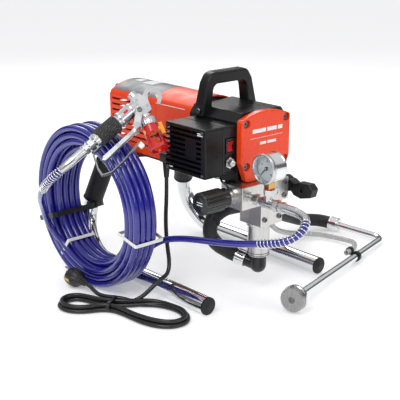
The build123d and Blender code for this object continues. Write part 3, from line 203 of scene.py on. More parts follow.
BRUSHED = {"stretch": (30, 30, 1), "blotch": 4}
MATERIALS = {
    "orange": surface("orange_paint", (0.84, 0.055, 0.008), 0.28, mottle=0.04, grain=1500, bump=0.04,
                      Coat_Weight=0.15, Coat_Roughness=0.1, Specular_IOR_Level=0.35),
    "orange_plastic": surface("orange_plastic", (0.85, 0.06, 0.009), 0.36, mottle=0.04, grain=1300, bump=0.08,
                              Specular_IOR_Level=0.35),
    "black_paint": surface("black_paint", (0.006, 0.006, 0.007), 0.3, grain=1100, bump=0.1, mottle=0.25,
                           smudge=0.04, Specular_IOR_Level=0.3),
    "black_plastic": surface("black_plastic", (0.007, 0.007, 0.008), 0.36, grain=1500, bump=0.2, mottle=0.2,
                             Specular_IOR_Level=0.32),
    "black_gloss": surface("black_gloss", (0.01, 0.01, 0.011), 0.22, grain=700, bump=0.03, mottle=0.2),
    "rubber": surface("cord_rubber", (0.012, 0.012, 0.012), 0.34, grain=800, bump=0.05, mottle=0.25),
    "hose_rubber": surface("hose_rubber", (0.016, 0.0165, 0.018), 0.5, grain=1200, bump=0.25, mottle=0.3,
                           Specular_IOR_Level=0.35),
    "foam": surface("speckled_foam", (0.018, 0.018, 0.019), 0.85, grain=1400, bump=0.6, mottle=0.3,
                    specks=((0.22, 0.22, 0.22), 0.36)),
    "chrome": surface("chrome", (0.78, 0.79, 0.8), 0.09, 1.0, mottle=0.02, grain=500, bump=0.012,
                      smudge=0.04),
    "zinc": surface("zinc_plate", (0.6, 0.61, 0.62), 0.24, 1.0, mottle=0.1, grain=350, bump=0.05,
                    smudge=0.1),
    "nickel": surface("satin_nickel", (0.62, 0.61, 0.58), 0.33, 1.0, mottle=0.05, grain=260, bump=0.05,
                      **BRUSHED),
    "steel": surface("turned_steel", (0.58, 0.58, 0.57), 0.28, 1.0, mottle=0.06, grain=300, bump=0.05,
                     **BRUSHED),
    # Dark steel for screws, gears and rings, and also for the strainer's painted shade core.
    "dark_steel": surface("oiled_steel_and_painted_shade", (0.2, 0.2, 0.2), 0.35, 1.0, mottle=0.15, grain=500, bump=0.08),
    "iron": surface("laminated_iron", (0.16, 0.16, 0.165), 0.5, 0.9, mottle=0.15, grain=250, bump=0.2,
                    stretch=(1, 20, 1)),
    "aluminium": surface("cast_aluminium", (0.6, 0.61, 0.63), 0.27, 1.0, mottle=0.06, grain=900, bump=0.12,
                         smudge=0.1),
    "brass": surface("brass", (0.62, 0.4, 0.13), 0.28, 1.0, mottle=0.1, grain=500, bump=0.05),
    "blue_hose": surface("blue_hose", (0.01, 0.01, 0.24), 0.2, mottle=0.08, grain=700, bump=0.03,
                         smudge=0.06, Coat_Weight=0.6, Coat_Roughness=0.08, Specular_IOR_Level=0.6),
    "clear_tube": surface("milky_tube", (0.72, 0.73, 0.72), 0.22, mottle=0.03, grain=500, bump=0.03,
                          Transmission_Weight=0.45, IOR=1.45),
    "white_plastic": surface("white_plastic", (0.8, 0.8, 0.78), 0.4, mottle=0.03, grain=900, bump=0.08),
    # White for real print on the covers, control box and knob, and also for the shroud's painted highlight
    # strips.
    "white_print_and_highlight": surface("white_print_and_highlight", (0.85, 0.85, 0.84), 0.45, mottle=0.02, grain=1200, bump=0.05),
    "grey_print": surface("grey_print", (0.075, 0.078, 0.085), 0.35, mottle=0.1, grain=1200, bump=0.04),
    "dial_white": surface("dial_white", (0.62, 0.65, 0.68), 0.5, mottle=0.03, grain=900, bump=0.03),
    "dial_ink": surface("dial_ink", (0.02, 0.02, 0.022), 0.5, mottle=0.1, grain=900, bump=0.03),
    "red_plastic": surface("red_plastic", (0.56, 0.008, 0.009), 0.2, mottle=0.06, grain=900, bump=0.04,
                           Coat_Weight=0.4, Coat_Roughness=0.1),
    "red_switch": surface("red_switch", (0.45, 0.008, 0.016), 0.25, mottle=0.08, grain=900, bump=0.04),
    "amber": surface("amber_plastic", (0.85, 0.33, 0.02), 0.3, mottle=0.08, grain=900, bump=0.05),
    "board": surface("circuit_board", (0.01, 0.12, 0.04), 0.4, mottle=0.2, grain=500, bump=0.2),
    "lens": surface("gauge_glass", (0.96, 0.98, 0.98), 0.06, mottle=0.01, grain=300, bump=0.0,
                    smudge=0.02, Transmission_Weight=1.0, IOR=1.2),
}


# ---------------------------------------------------------------- mesh helpers
def frame_at(origin, axis, x_hint=(0, 0, 1)):
    """Matrix whose Z lies along an axis and whose X is as near as can be to a hint."""
    z = Vector(axis).normalized()
    x = Vector(x_hint) - z * z.dot(Vector(x_hint))
    if x.length < 1e-4:
        x = z.orthogonal()
    x.normalize()
    rotation = Matrix((x, z.cross(x), z)).transposed()
    return Matrix.Translation(origin) @ rotation.to_4x4()


def add_piece(name, data, material, body="root", replaces=()):
    """Links new mesh or curve data as a piece that rides on a body."""
    piece = bpy.data.objects.new(name, data)
    scene.collection.objects.link(piece)
    data.materials.append(MATERIALS[material])
    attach(piece, body)
    if replaces:
        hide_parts(*replaces)
    return piece


def mesh_piece(name, vertices, faces, material, body="root", replaces=(), sharp=35):
    """A piece from points and faces, with smooth shading and sharp corners."""
    mesh = bpy.data.meshes.new(name)
    mesh.from_pydata([tuple(v) for v in vertices], [], faces)
    work = bmesh.new()
    work.from_mesh(mesh)
    bmesh.ops.remove_doubles(work, verts=work.verts, dist=1e-6)
    bmesh.ops.recalc_face_normals(work, faces=work.faces)
    work.to_mesh(mesh)
    work.free()
    mesh.shade_smooth()
    mesh.set_sharp_from_angle(angle=radians(sharp))
    return add_piece(name, mesh, material, body, replaces)


def ring(inner, outer, low, high, cut=None):
    """Closed profile of a ring in mm. Its outer corners may be cut back by (radial, axial) mm."""
    if cut:
        radial, axial = cut
        corners = [(outer - radial, low), (outer, low + axial), (outer, high - axial), (outer - radial, high)]
    else:
        corners = [(outer, low), (outer, high)]
    return [(inner, low), *corners, (inner, high), (inner, low)]


def lathe_data(profile, place, segments=64, flutes=0, flute_depth=0.0):
    """Points and faces of a profile of (radius, height) pairs in mm, turned about a frame's Z."""
    points, faces = [], []
    count = len(profile)
    for k in range(segments):
        angle = 2 * pi * k / segments
        groove = flute_depth * (0.5 - 0.5 * cos(angle * flutes)) if flutes else 0.0
        for radius, height in profile:
            fluted = max(radius - (groove if radius > 3 * flute_depth else 0), 0.0)
            points.append(place @ mm(fluted * cos(angle), fluted * sin(angle), height))
    for k in range(segments):
        following = (k + 1) % segments
        for i in range(count - 1):
            here, there = k * count + i, following * count + i
            faces.append((here, there, there + 1, here + 1))
    return points, faces


def lathe(name, profile, place, material, body="root", replaces=(), **options):
    """A turned piece. A profile starts and ends on the axis, or closes on itself."""
    points, faces = lathe_data(profile, place, **options)
    return mesh_piece(name, points, faces, material, body, replaces)


def prism(name, outline, place, depth, material, body="root", bevel=0.6, replaces=(), segments=3):
    """A flat outline in mm on a frame's X and Y, made depth mm thick along Z, with rounded edges."""
    count = len(outline)
    points = [place @ mm(x, y, z) for z in (0, depth) for x, y in outline]
    faces = [tuple(reversed(range(count))), tuple(range(count, 2 * count))]
    faces += [(i, (i + 1) % count, count + (i + 1) % count, count + i) for i in range(count)]
    piece = mesh_piece(name, points, faces, material, body, replaces)
    if bevel:
        soften(piece, bevel, segments)
    return piece


def soften(piece, width_mm, segments=3, angle=32):
    """Rounds a piece's sharp edges."""
    weld = piece.modifiers.new("weld", "WELD")
    weld.merge_threshold = 2e-6
    bevel = piece.modifiers.new("bevel", "BEVEL")
    bevel.width = width_mm * MM
    bevel.segments = segments
    bevel.limit_method = "ANGLE"
    bevel.angle_limit = radians(angle)
    bevel.harden_normals = False
    bevel.use_clamp_overlap = True
    normals = piece.modifiers.new("normals", "WEIGHTED_NORMAL")
    normals.keep_sharp = False


def rectangle(width, height):
    """Outline of a centred rectangle."""
    w, h = width / 2, height / 2
    return [(-w, -h), (w, -h), (w, h), (-w, h)]


def rounded(width, height, radius, steps=5):
    """Outline of a centred rectangle with round corners."""
    w, h = width / 2 - radius, height / 2 - radius
    points = []
    for cx, cy, start in ((w, h, 0), (-w, h, 90), (-w, -h, 180), (w, -h, 270)):
        for k in range(steps + 1):
            angle = radians(start + 90 * k / steps)
            points.append((cx + radius * cos(angle), cy + radius * sin(angle)))
    return points


def joined(name, parts, material, body="root", replaces=(), sharp=35):
    """One piece from several (points, faces) pairs."""
    points, faces = [], []
    for part_points, part_faces in parts:
        start = len(points)
        points += part_points
        faces += [tuple(start + i for i in face) for face in part_faces]
    return mesh_piece(name, points, faces, material, body, replaces, sharp)


def block_data(place, size, centre=(0, 0, 0)):
    """Points and faces of a plain block in a frame, sizes in mm."""
    points = []
    for z in (-1, 1):
        for x, y in ((-1, -1), (1, -1), (1, 1), (-1, 1)):
            corner = [c + way * length / 2 for c, way, length in zip(centre, (x, y, z), size)]
            points.append(place @ mm(*corner))
    faces = [(3, 2, 1, 0), (4, 5, 6, 7), (0, 1, 5, 4), (1, 2, 6, 5), (2, 3, 7, 6), (3, 0, 4, 7)]
    return points, faces


# ---------------------------------------------------------------- cords
def add_spline(curve, kind, points):
    """A new spline of a curve, through or along the given points in metres."""
    spline = curve.splines.new(kind)
    spline.points.add(len(points) - 1)
    for control, point in zip(spline.points, points):
        control.co = (*point, 1)
    return spline


def smooth_curve(name, points, radius, resolution=6, sides=6):
    """Curve data along control points in metres."""
    curve = bpy.data.curves.new(name, "CURVE")
    curve.dimensions = "3D"
    spline = add_spline(curve, "NURBS", points)
    spline.order_u = 3
    spline.use_endpoint_u = True
    spline.resolution_u = resolution
    curve.bevel_depth = radius
    curve.bevel_resolution = sides
    curve.use_fill_caps = True
    return curve


def centreline(points):
    """Points along the NURBS line of the given control points."""
    curve = smooth_curve("line_probe", points, 0)
    curve.use_fill_caps = False
    probe = bpy.data.objects.new("line_probe", curve)
    scene.collection.objects.link(probe)
    mesh = bpy.data.meshes.new_from_object(probe)
    line = [v.co.copy() for v in mesh.vertices]
    bpy.data.objects.remove(probe)
    bpy.data.meshes.remove(mesh)
    return line


def line_length(line):
    """Length of a line of points."""
    return sum((b - a).length for a, b in zip(line, line[1:]))


def stretch_of(line, start, end, step):
    """Points and directions every step metres along a line, from start to end."""
    found = []
    walked = 0.0
    target = start
    for a, b in zip(line, line[1:]):
        run = (b - a).length
        while run > 0 and walked + run >= target and target <= end:
            found.append((a.lerp(b, (target - walked) / run), (b - a).normalized()))
            target += step
        walked += run
    return found


def spring_along(name, line, start, end, coil_r, wire_r, pitch, material):
    """A wire helix around part of a line."""
    turns_per_step = 1 / 20
    samples = stretch_of(line, start, end, pitch * turns_per_step)
    side = samples[0][1].orthogonal().normalized()
    points = []
    for k, (centre, direction) in enumerate(samples):
        side = (side - direction * side.dot(direction)).normalized()
        angle = 2 * pi * k * turns_per_step
        across = direction.cross(side)
        points.append(centre + (side * cos(angle) + across * sin(angle)) * coil_r)
    curve = bpy.data.curves.new(name, "CURVE")
    curve.dimensions = "3D"
    add_spline(curve, "POLY", points)
    curve.bevel_depth = wire_r
    curve.bevel_resolution = 2
    curve.use_fill_caps = True
    return add_piece(name, curve, material)


SLEEVE_STEPS = 24.001    # a hair over 24, so that rounding can't drop the last ring


def sleeve_along(name, line, start, end, radii, material):
    """A tube around part of a line, whose radius runs through the given values."""
    samples = stretch_of(line, start, end, (end - start) / SLEEVE_STEPS)
    sides = 32
    side = samples[0][1].orthogonal().normalized()
    points, faces = [], []
    for k, (centre, direction) in enumerate(samples):
        side = (side - direction * side.dot(direction)).normalized()
        across = direction.cross(side)
        place = k / (len(samples) - 1) * (len(radii) - 1)
        low = min(int(place), len(radii) - 2)
        radius = (radii[low] + (radii[low + 1] - radii[low]) * (place - low)) * MM
        for j in range(sides):
            angle = 2 * pi * j / sides
            points.append(centre + (side * cos(angle) + across * sin(angle)) * radius)
    for k in range(len(samples) - 1):
        for j in range(sides):
            following = (j + 1) % sides
            row, next_row = k * sides, (k + 1) * sides
            faces.append((row + j, row + following, next_row + following, next_row + j))
    faces.append(tuple(range(sides)))
    faces.append(tuple(reversed(range((len(samples) - 1) * sides, len(samples) * sides))))
    return mesh_piece(name, points, faces, material)


# Paint hose, in mm and degrees
HOSE_D = 11.0
COIL_Y, COIL_Z = 205.0, 141.0
COIL_INNER_R = 99.7
COIL_RADIAL_PITCH = 11.4
COIL_LAYER_X = -158.3
COIL_LAYER_PITCH = 11.1
POINTS_PER_TURN = 20
# radial position of each turn, layer by layer, from the machine side outwards
COIL_TURNS = ((1, 0), (0, 1, 2, 3), (3, 2, 1, 0), (0, 1, 2, 3), (3, 2, 1))
# the hose passes from one turn's place to the next between these angles
STEP_ANGLES = (60.0, 140.0)
COIL_ENTRY_DEG = -143.0
COIL_EXIT_DEG = -50.0
# the turns lie loosest at this angle: wider apart by these shares, and further out
LOOSEST_DEG = 40
LOOSE_RADIAL, LOOSE_SIDEWAYS, LOOSE_RISE = 0.1, 0.12, 1.5

PUMP_ROUTE = [
    (-52, -107.1, 183), (-52, -144, 183), (-62, -161, 176),
    (-79, -168, 166), (-96, -161, 156), (-107, -142, 149), (-113, -114, 142), (-119, -70, 131),
    (-123, -20, 122), (-125, 28, 114), (-130, 66, 106), (-141, 91, 98),
]


def eased(share):
    """Smooth step from 0 to 1."""
    share = min(max(share, 0.0), 1.0)
    return share * share * (3 - 2 * share)


def coil_points():
    """Control points of the hose's turns, in mm."""
    turns = [(layer, position) for layer, row in enumerate(COIL_TURNS) for position in row]
    shrink = (6 + 2 * cos(2 * pi / POINTS_PER_TURN)) / 8
    total = 360.0 * len(turns) + COIL_EXIT_DEG - COIL_ENTRY_DEG
    steps = int(total / 360 * POINTS_PER_TURN)
    points = []
    for k in range(steps + 1):
        angle = COIL_ENTRY_DEG + total * k / steps
        crossing = (angle - STEP_ANGLES[0]) / 360 + 1
        turn = int(crossing // 1)
        share = eased((crossing % 1) * 360 / (STEP_ANGLES[1] - STEP_ANGLES[0]))
        old = turns[min(max(turn - 1, 0), len(turns) - 1)]
        new = turns[min(turn, len(turns) - 1)]
        layer = old[0] + (new[0] - old[0]) * share
        position = old[1] + (new[1] - old[1]) * share
        loose = 0.5 + 0.5 * cos(radians(angle - LOOSEST_DEG))
        radius = COIL_INNER_R + position * COIL_RADIAL_PITCH * (1 + LOOSE_RADIAL * loose) + LOOSE_RISE * loose
        x = COIL_LAYER_X - layer * COIL_LAYER_PITCH * (1 + LOOSE_SIDEWAYS * loose)
        y = COIL_Y + radius / shrink * cos(radians(angle))
        z = COIL_Z + radius / shrink * sin(radians(angle))
        points.append((x, y, z))
    return points


GUN_PIVOT = mm(-142, 135, 323)
GUN_X = Vector((-89, 5, -51.5)).normalized()
GUN_Z = GUN_X.cross(Vector((-89, -20, -76))).normalized()
GUN_Y = GUN_Z.cross(GUN_X)


def gun_point(u, v, w=0.0):
    """A point of the gun's own plane: u down the handle, v towards the nozzle, w across."""
    return GUN_PIVOT + (GUN_X * u + GUN_Y * v + GUN_Z * w) * MM


def gun_frame(u, v, w, x_axis, y_axis):
    """Matrix at a point of the gun, from two of its axes."""
    rotation = Matrix((x_axis, y_axis, x_axis.cross(y_axis))).transposed()
    return Matrix.Translation(gun_point(u, v, w)) @ rotation.to_4x4()


GUN_ROUTE = [
    tuple(gun_point(125.1, 0) / MM), tuple(gun_point(167, 0) / MM), (-301, 173, 211), (-291, 207, 186),
    (-274, 240, 163), (-252, 270, 139), (-233, 294, 110), (-218, 300, 82),
]


def make_paint_hose():
    """The blue hose: pump run, coil and gun run on one line, with its springs and sleeves."""
    controls = [mm(*p) for p in PUMP_ROUTE + coil_points() + GUN_ROUTE[::-1]]
    line = centreline(controls)
    hose = add_piece("paint_hose", smooth_curve("paint_hose", controls, HOSE_D / 2 * MM, 5, 5),
                     "blue_hose", replaces=("hose_run_pump", "hose_coil", "hose_run_gun"))
    total = line_length(line)
    on_hose = [
        sleeve_along("pump_hose_sleeve", line, 0.018, 0.058, (7.2, 7.0, 7.0, 6.9, 6.4), "zinc"),
        spring_along("pump_hose_spring", line, 0.052, 0.150, 0.0066, 0.00085, 0.0062, "chrome"),
        sleeve_along("gun_hose_sleeve", line, total - 0.048, total - 0.016, (6.2, 6.9, 7.4, 7.6, 7.6),
                     "zinc"),
        spring_along("gun_hose_spring", line, total - 0.112, total - 0.044, 0.0065, 0.00085, 0.0046,
                     "chrome"),
        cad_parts["hose_fittings"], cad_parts["hose_ties"],
    ]


# Power cord, in mm
CORD_D = 7.0
CORD_DROP_ROUTE = [
    (-112, 106, 199), (-112, 106, 168), (-121, 99, 128), (-125, 91, 88), (-127, 82, 60), (-136, 75, 43),
    (-153, 71, 40), (-170, 72, 31), (-184, 76, 19), (-196, 82, 11),
]
HANK_LOOP = [
    (-214, 95), (-228, 110), (-240, 128), (-245, 148), (-256, 168), (-276, 175), (-294, 166), (-301, 147),
    (-295, 126), (-277, 111), (-256, 103), (-243, 88), (-239, 64), (-237, 38), (-232, 10), (-222, -13),
    (-205, -27), (-183, -27), (-165, -11), (-158, 15), (-162, 43), (-175, 66), (-196, 83),
]
# each loop's inset and its height above the floor
HANK_LAYERS = ((0.0, 3.7), (3.5, 10.9), (7.0, 3.7))
HANK_WANDER = 0.8
HANK_STEP_POINTS = 6     # the last points of a loop lead over to the next one
CORD_PLUG_ROUTE = [
    (-204, 94, 9), (-219, 109, 12.5), (-229, 125, 12), (-232.4, 141, 11.5), (-231.2, 156, 13.3),
    (-229.6, 169, 16.6), (-229, 181, 16.6),
]


def hank_points():
    """Control points of the tied cord's loops, in mm."""
    points = []
    count = len(HANK_LOOP)
    for loop, (inset, height) in enumerate(HANK_LAYERS):
        next_inset, next_height = HANK_LAYERS[min(loop + 1, len(HANK_LAYERS) - 1)]
        for k, corner in enumerate(HANK_LOOP):
            share = eased((k - count) / HANK_STEP_POINTS + 1)
            along = Vector(HANK_LOOP[(k + 1) % count]) - Vector(HANK_LOOP[k - 1])
            inward = Vector((-along.y, along.x)).normalized()
            wander = HANK_WANDER * sin(1.7 * k + 2.1 * loop)
            place = Vector(corner) + inward * (inset + (next_inset - inset) * share + wander)
            points.append((place.x, place.y, height + (next_height - height) * share))
    return points


def make_power_cord():
    """The black mains cord: drop, tied hank and the run to the plug on one line."""
    controls = [mm(*p) for p in CORD_DROP_ROUTE + hank_points() + CORD_PLUG_ROUTE]
    total = line_length(centreline(controls))
    cord = add_piece("power_cord", smooth_curve("power_cord", controls, CORD_D / 2 * MM, 8, 5), "rubber",
                     replaces=("cord_drop", "cord_hank", "cord_plug_run"))
    on_cord = make_plug() + [make_hank_tie(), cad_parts["cord_gland"]]


PLUG_AXIS = Vector((0.05, 1, 0)).normalized()
PLUG_BACK = mm(-229, 181, 16.6)


def make_plug():
    """Round two-pin plug with a fluted grip and earth strips: its three pieces."""
    place = frame_at(PLUG_BACK, PLUG_AXIS)
    face_height = 46
    profile = [(0, 0), (4.4, 0), (5.2, 3), (5.0, 4), (6.0, 8), (5.8, 9), (7.2, 14), (7.0, 15), (8.8, 21),
               (10.8, 24), (15.2, 28.4), (15.9, 31), (15.9, 44), (15.2, 47.6), (13.8, 48),
               (13.8, face_height), (0, face_height)]
    body = lathe("plug_body", profile, place, "rubber", replaces=("power_plug",), segments=96,
                 flutes=16, flute_depth=0.8)
    pins = []
    for x in (-9.5, 9.5):
        pin_place = place @ Matrix.Translation(mm(x, 0, face_height))
        pins.append(lathe_data([(0, 0), (2.4, 0), (2.4, 19.6), (1.9, 21), (0, 21)], pin_place, segments=24))
    strips = [block_data(place, (5, 1.2, 16), (0, y, 39)) for y in (-15.6, 15.6)]
    return [body, joined("plug_pins", pins, "zinc"), joined("plug_earth_strips", strips, "brass")]


def band_data(outline, place, width, thickness):
    """Points and faces of a flat strap of a width along Z that follows a closed outline in mm."""
    count = len(outline)
    points, faces = [], []
    for k, (x, y) in enumerate(outline):
        before, after = Vector(outline[k - 1]), Vector(outline[(k + 1) % count])
        along = (after - before).normalized()
        outward = Vector((along.y, -along.x))
        for grow, z in ((0, -width / 2), (thickness, -width / 2), (thickness, width / 2), (0, width / 2)):
            points.append(place @ mm(x + outward.x * grow, y + outward.y * grow, z))
    for k in range(count):
        following = (k + 1) % count
        for j in range(4):
            faces.append((4 * k + j, 4 * following + j, 4 * following + (j + 1) % 4, 4 * k + (j + 1) % 4))
    return points, faces


def make_hank_tie():
    """Strap that gathers the cord's loops at their waist."""
    place = frame_at(mm(-235, 99.5, 8.1), (-0.5, 0.86, 0), (0.86, 0.5, 0))
    return joined("hank_tie", [band_data(rounded(36, 15.2, 7, 6), place, 5, 1.0)], "rubber")


# ---------------------------------------------------------------- the frame's own parts
NODE_MATERIALS = {
    "orange": ("front_cover",),
    "orange_plastic": ("motor_shroud", "rear_motor_cover"),
    "black_paint": ("drive_housing", "frame_bracket", "control_heat_sink", "control_box"),
    "black_plastic": ("carry_handle", "foot_plugs", "return_tube_clip", "prime_lever"),
    "black_gloss": ("suction_elbow",),
    "rubber": ("cord_gland", "sensor_cable"),
    "hose_rubber": ("suction_hose", "leg_sleeves"),
    "foam": ("gun_grip",),
    "chrome": ("left_frame_tube", "right_frame_tube", "suction_pipe", "suction_ferrules", "gauge_case"),
    "zinc": ("outlet_tee", "hose_fittings", "gun_inlet_fitting", "prime_valve_body", "fuse_holder"),
    "nickel": ("pump_manifold",),
    "steel": ("pump_cylinder", "piston_rod", "inlet_ball", "gun_needle", "bearings", "pressure_control_body"),
    "dark_steel": ("crank_gear", "intermediate_gear", "screws", "trigger_guard"),
    "iron": ("armature", "motor_stator"),
    "aluminium": ("gun_body", "trigger"),
    "clear_tube": ("return_tube",),
    "white_plastic": ("packings", "hose_ties"),
    "red_plastic": ("tip_guard",),
    "red_switch": ("rocker_switch",),
    "dial_ink": ("gauge_needle",),
    "amber": ("spray_tip",),
    "board": ("control_board",),
    "lens": ("gauge_lens",),
}
BEVELS_MM = {
    "drive_housing": 0.8, "frame_bracket": 0.5, "control_heat_sink": 0.35, "control_box": 0.6,
    "carry_handle": 1.2, "motor_shroud": 0.5, "rear_motor_cover": 0.4, "front_cover": 0.7, "prime_lever": 0.8,
    "pump_manifold": 0.5, "outlet_tee": 0.35, "hose_fittings": 0.35, "gun_inlet_fitting": 0.35,
    "prime_valve_body": 0.4, "fuse_holder": 0.3, "gun_body": 0.9, "trigger": 0.7, "trigger_guard": 0.4,
    "tip_guard": 0.4, "spray_tip": 0.5, "rocker_switch": 0.4, "gauge_case": 0.5, "suction_ferrules": 0.5,
    "pump_cylinder": 0.4, "return_tube_clip": 0.4, "screws": 0.2, "hose_ties": 0.3, "foot_plugs": 0.4,
}


def dress_frame():
    """Gives each CAD node listed in the table its material, and rounds the edges of the hard ones."""
    for material, names in NODE_MATERIALS.items():
        for name in names:
            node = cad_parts[name]
            node.data.materials.clear()
            node.data.materials.append(MATERIALS[material])
            if name in BEVELS_MM:
                soften(node, BEVELS_MM[name], 2)


# ---------------------------------------------------------------- stand
def make_foot_ends():
    """Domed rubber caps over the ends of the two foot tubes."""
    low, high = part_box("foot_plugs")
    radius = (high.z - low.z) / 2 / MM
    dome = [(0, 3.6), (4, 3.6), (5, 3.2), (11, 3.2), (13.6, 2.6), (14.9, 1.2), (15, 0), (14.9, -0.4),
            (0, -0.4)]
    caps = []
    for x in (low.x + radius * MM, high.x - radius * MM):
        caps.append(lathe_data(dome, frame_at(Vector((x, low.y + 3 * MM, radius * MM)), (0, -1, 0))))
    joined("foot_caps", caps, "black_plastic")


def leg_point(side, z):
    """Point of a sloping leg's axis at a height z in mm."""
    foot_x, foot_y, foot_z = 133, 352, 15
    lean_x, lean_y = 0.24, 0.29
    return mm(side * (foot_x - lean_x * (z - foot_z)), foot_y - lean_y * (z - foot_z), z)


def make_leg_trim():
    """End rings of the leg sleeves, and the strap that holds the hose coil to the left leg."""
    rings = []
    for side in (-1, 1):
        direction = leg_point(side, 200) - leg_point(side, 100)
        for z in (110, 182):
            place = frame_at(leg_point(side, z), direction)
            rings.append(lathe_data(ring(15.2, 19, -1, 2.6, (0.4, 1)), place))
    joined("sleeve_rings", rings, "black_plastic")
    strap_angle = radians(-20)
    radial = Vector((0, cos(strap_angle), sin(strap_angle)))
    place = frame_at(mm(0, COIL_Y, COIL_Z), Vector((1, 0, 0)).cross(radial), (1, 0, 0))
    outline = [(-216, 96), (-211, 91), (-155, 91), (-110, 108), (-96, 116), (-93, 128), (-98, 141),
               (-108, 147), (-156, 148), (-211, 146), (-216, 141)]
    joined("coil_strap", [band_data(outline, place, 9, 1.4)], "rubber")
    buckle = block_data(place, (20, 4, 12), (-128, 103.5, 0))
    soften(joined("coil_strap_buckle", [buckle], "black_plastic"), 1.2)


# ---------------------------------------------------------------- covers
def make_cover_marks():
    """Plain white bars and hairlines on the front cover, where the real one carries print."""
    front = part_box("front_cover")[0].y
    place = Matrix.Translation((0, front, 0)) @ Matrix.Rotation(pi / 2, 4, "X")
    bars = []
    for x, z, width, height in ((-17, 284, 30, 6.4), (12, 284, 22, 6.4), (31, 284, 10, 6.4),
                                (0, 272.5, 74, 0.6), (-8, 263, 14, 4.6), (12, 263, 20, 4.6)):
        bars.append(block_data(place, (width, height, 0.3), (x, z, 0.1)))
    soften(joined("cover_marks", bars, "white_print_and_highlight"), 0.12, 1)


def make_cover_washers():
    """Washers in the front cover's four screw pockets."""
    washers = []
    for x, z in ((-45, 298), (45, 298), (-44, 228), (44, 228)):
        place = frame_at(mm(x, -7.05, z), (0, -1, 0))
        washers.append(lathe_data(ring(4.3, 6.4, 0, 0.8), place, segments=32))
    joined("cover_washers", washers, "zinc")


def crowned_strip(name, half_width, y_from, y_to, lift, material):
    """A thin sheet over the motor cover's crowned top, lift mm above it."""
    top, rise, edge = 321, 15, 49
    radius = (edge * edge + rise * rise) / (2 * rise)
    steps = 24
    skin = 0.02
    points, faces = [], []
    for y in (y_from, y_to):
        for k in range(steps + 1):
            x = -half_width + 2 * half_width * k / steps
            for extra in (skin, lift):
                z = top - radius + sqrt((radius + extra) ** 2 - x * x)
                points.append(mm(x, y, z))
    row = 2 * (steps + 1)
    for k in range(steps):
        a, b = 2 * k, 2 * (k + 1)
        faces.append((a + 1, b + 1, row + b + 1, row + a + 1))
        faces.append((b, a, row + a, row + b))
        faces.append((a, b, b + 1, a + 1))
        faces.append((row + b, row + a, row + a + 1, row + b + 1))
    faces.append((0, 1, row + 1, row))
    faces.append((2 * steps + 1, 2 * steps, row + 2 * steps, row + 2 * steps + 1))
    return mesh_piece(name, points, faces, material)


def make_motor_trim():
    """The grey plate on the rear cover with plain pale blocks, white strips painted along the shroud's sides
    as a highlight under its top edge, the rear screws.
    """
    crowned_strip("motor_plate", 47, 214, 336, 0.35, "grey_print")
    crowned_strip("motor_plate_block_a", 14, 262, 292, 0.55, "dial_white")
    crowned_strip("motor_plate_block_b", 9, 302, 322, 0.55, "dial_white")
    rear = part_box("rear_motor_cover")[1].y
    # Painted highlight: a thin white strip on each side of the shroud, just under its top edge, where the
    # crease catches the light.
    highlight_strips = [block_data(Matrix.Translation(mm(side * 53.15, 0, 0)), (0.3, 78, 1.3), (0, 166, 301))
               for side in (-1, 1)]
    joined("motor_painted_highlight_strips", highlight_strips, "white_print_and_highlight")
    screws = []
    for z in (216, 309):
        for x in (-30, 30):
            place = frame_at(Vector((x * MM, rear, z * MM)), (0, 1, 0))
            screws.append(lathe_data([(0, 0), (5, 0), (5, 3), (3.4, 3.6), (0, 3.6)], place, segments=32))
    joined("rear_cover_screws", screws, "dark_steel")


def make_handle_trim():
    """Grip ridges on the handle's top bar, and the bolts at its feet."""
    low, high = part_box("carry_handle")
    top = Matrix.Translation((0, (low.y + high.y) / 2, high.z))
    ridges = [block_data(top, (1.6, 15, 0.9), (4.5 * k, 0, 0.1)) for k in range(-7, 8)]
    soften(joined("handle_ridges", ridges, "black_plastic"), 0.35, 2)
    bolts = []
    for side in (-1, 1):
        place = frame_at(mm(side * 60.6, 83, 307), (side, 0, 0))
        bolts.append(lathe_data([(0, 0), (5.4, 0), (5.4, 2.6), (4.6, 3.4), (2.4, 3.4), (2.4, 1.6), (0, 1.6)],
                                place, segments=48))
    joined("handle_bolts", bolts, "dark_steel")


# ---------------------------------------------------------------- control box
def make_control_trim():
    """Switch bezel, fuse cap, cover seam, base lugs and small pale marks of the control box."""
    switch_x = -68.5
    bezel = frame_at(mm(switch_x, -0.4, 264), (0, -1, 0), (1, 0, 0))
    joined("switch_bezel", [band_data(rounded(14.2, 21.8, 2, 4), bezel, 1.2, 1.4)], "black_gloss")
    cap = frame_at(mm(switch_x, -6, 237), (0, -1, 0), (1, 0, 0))
    lathe("fuse_cap", [(0, 0), (5.6, 0), (5.6, 1.2), (4.8, 2.2), (0, 2.2)], cap, "zinc",
          segments=96, flutes=24, flute_depth=0.5)
    prism("fuse_cap_slot", rectangle(6.4, 1.1), cap @ Matrix.Translation(mm(0, 0, 2)), 0.35, "dark_steel",
          bevel=0)
    side = Matrix.Translation(mm(-120.1, 0, 0))
    marks = [block_data(side, (0.3, width, height), (0, y, z))
             for y, z, width, height in ((13, 289.5, 13, 1.6), (13, 286.6, 13, 1.6), (84, 224, 8, 2.2))]
    joined("control_marks", marks, "white_print_and_highlight")
    seam = frame_at(mm(-83.1, 49, 257), (-1, 0, 0), (0, -1, 0))
    joined("control_seam", [band_data(rounded(98.4, 80.4, 4, 5), seam, 1.0, 0.3)], "black_gloss")
    lugs = [block_data(Matrix.Translation(mm(-100, y, 215.6)), (26, 5, 2.6)) for y in (20, 49, 78)]
    soften(joined("control_base_lugs", lugs, "zinc"), 0.5)


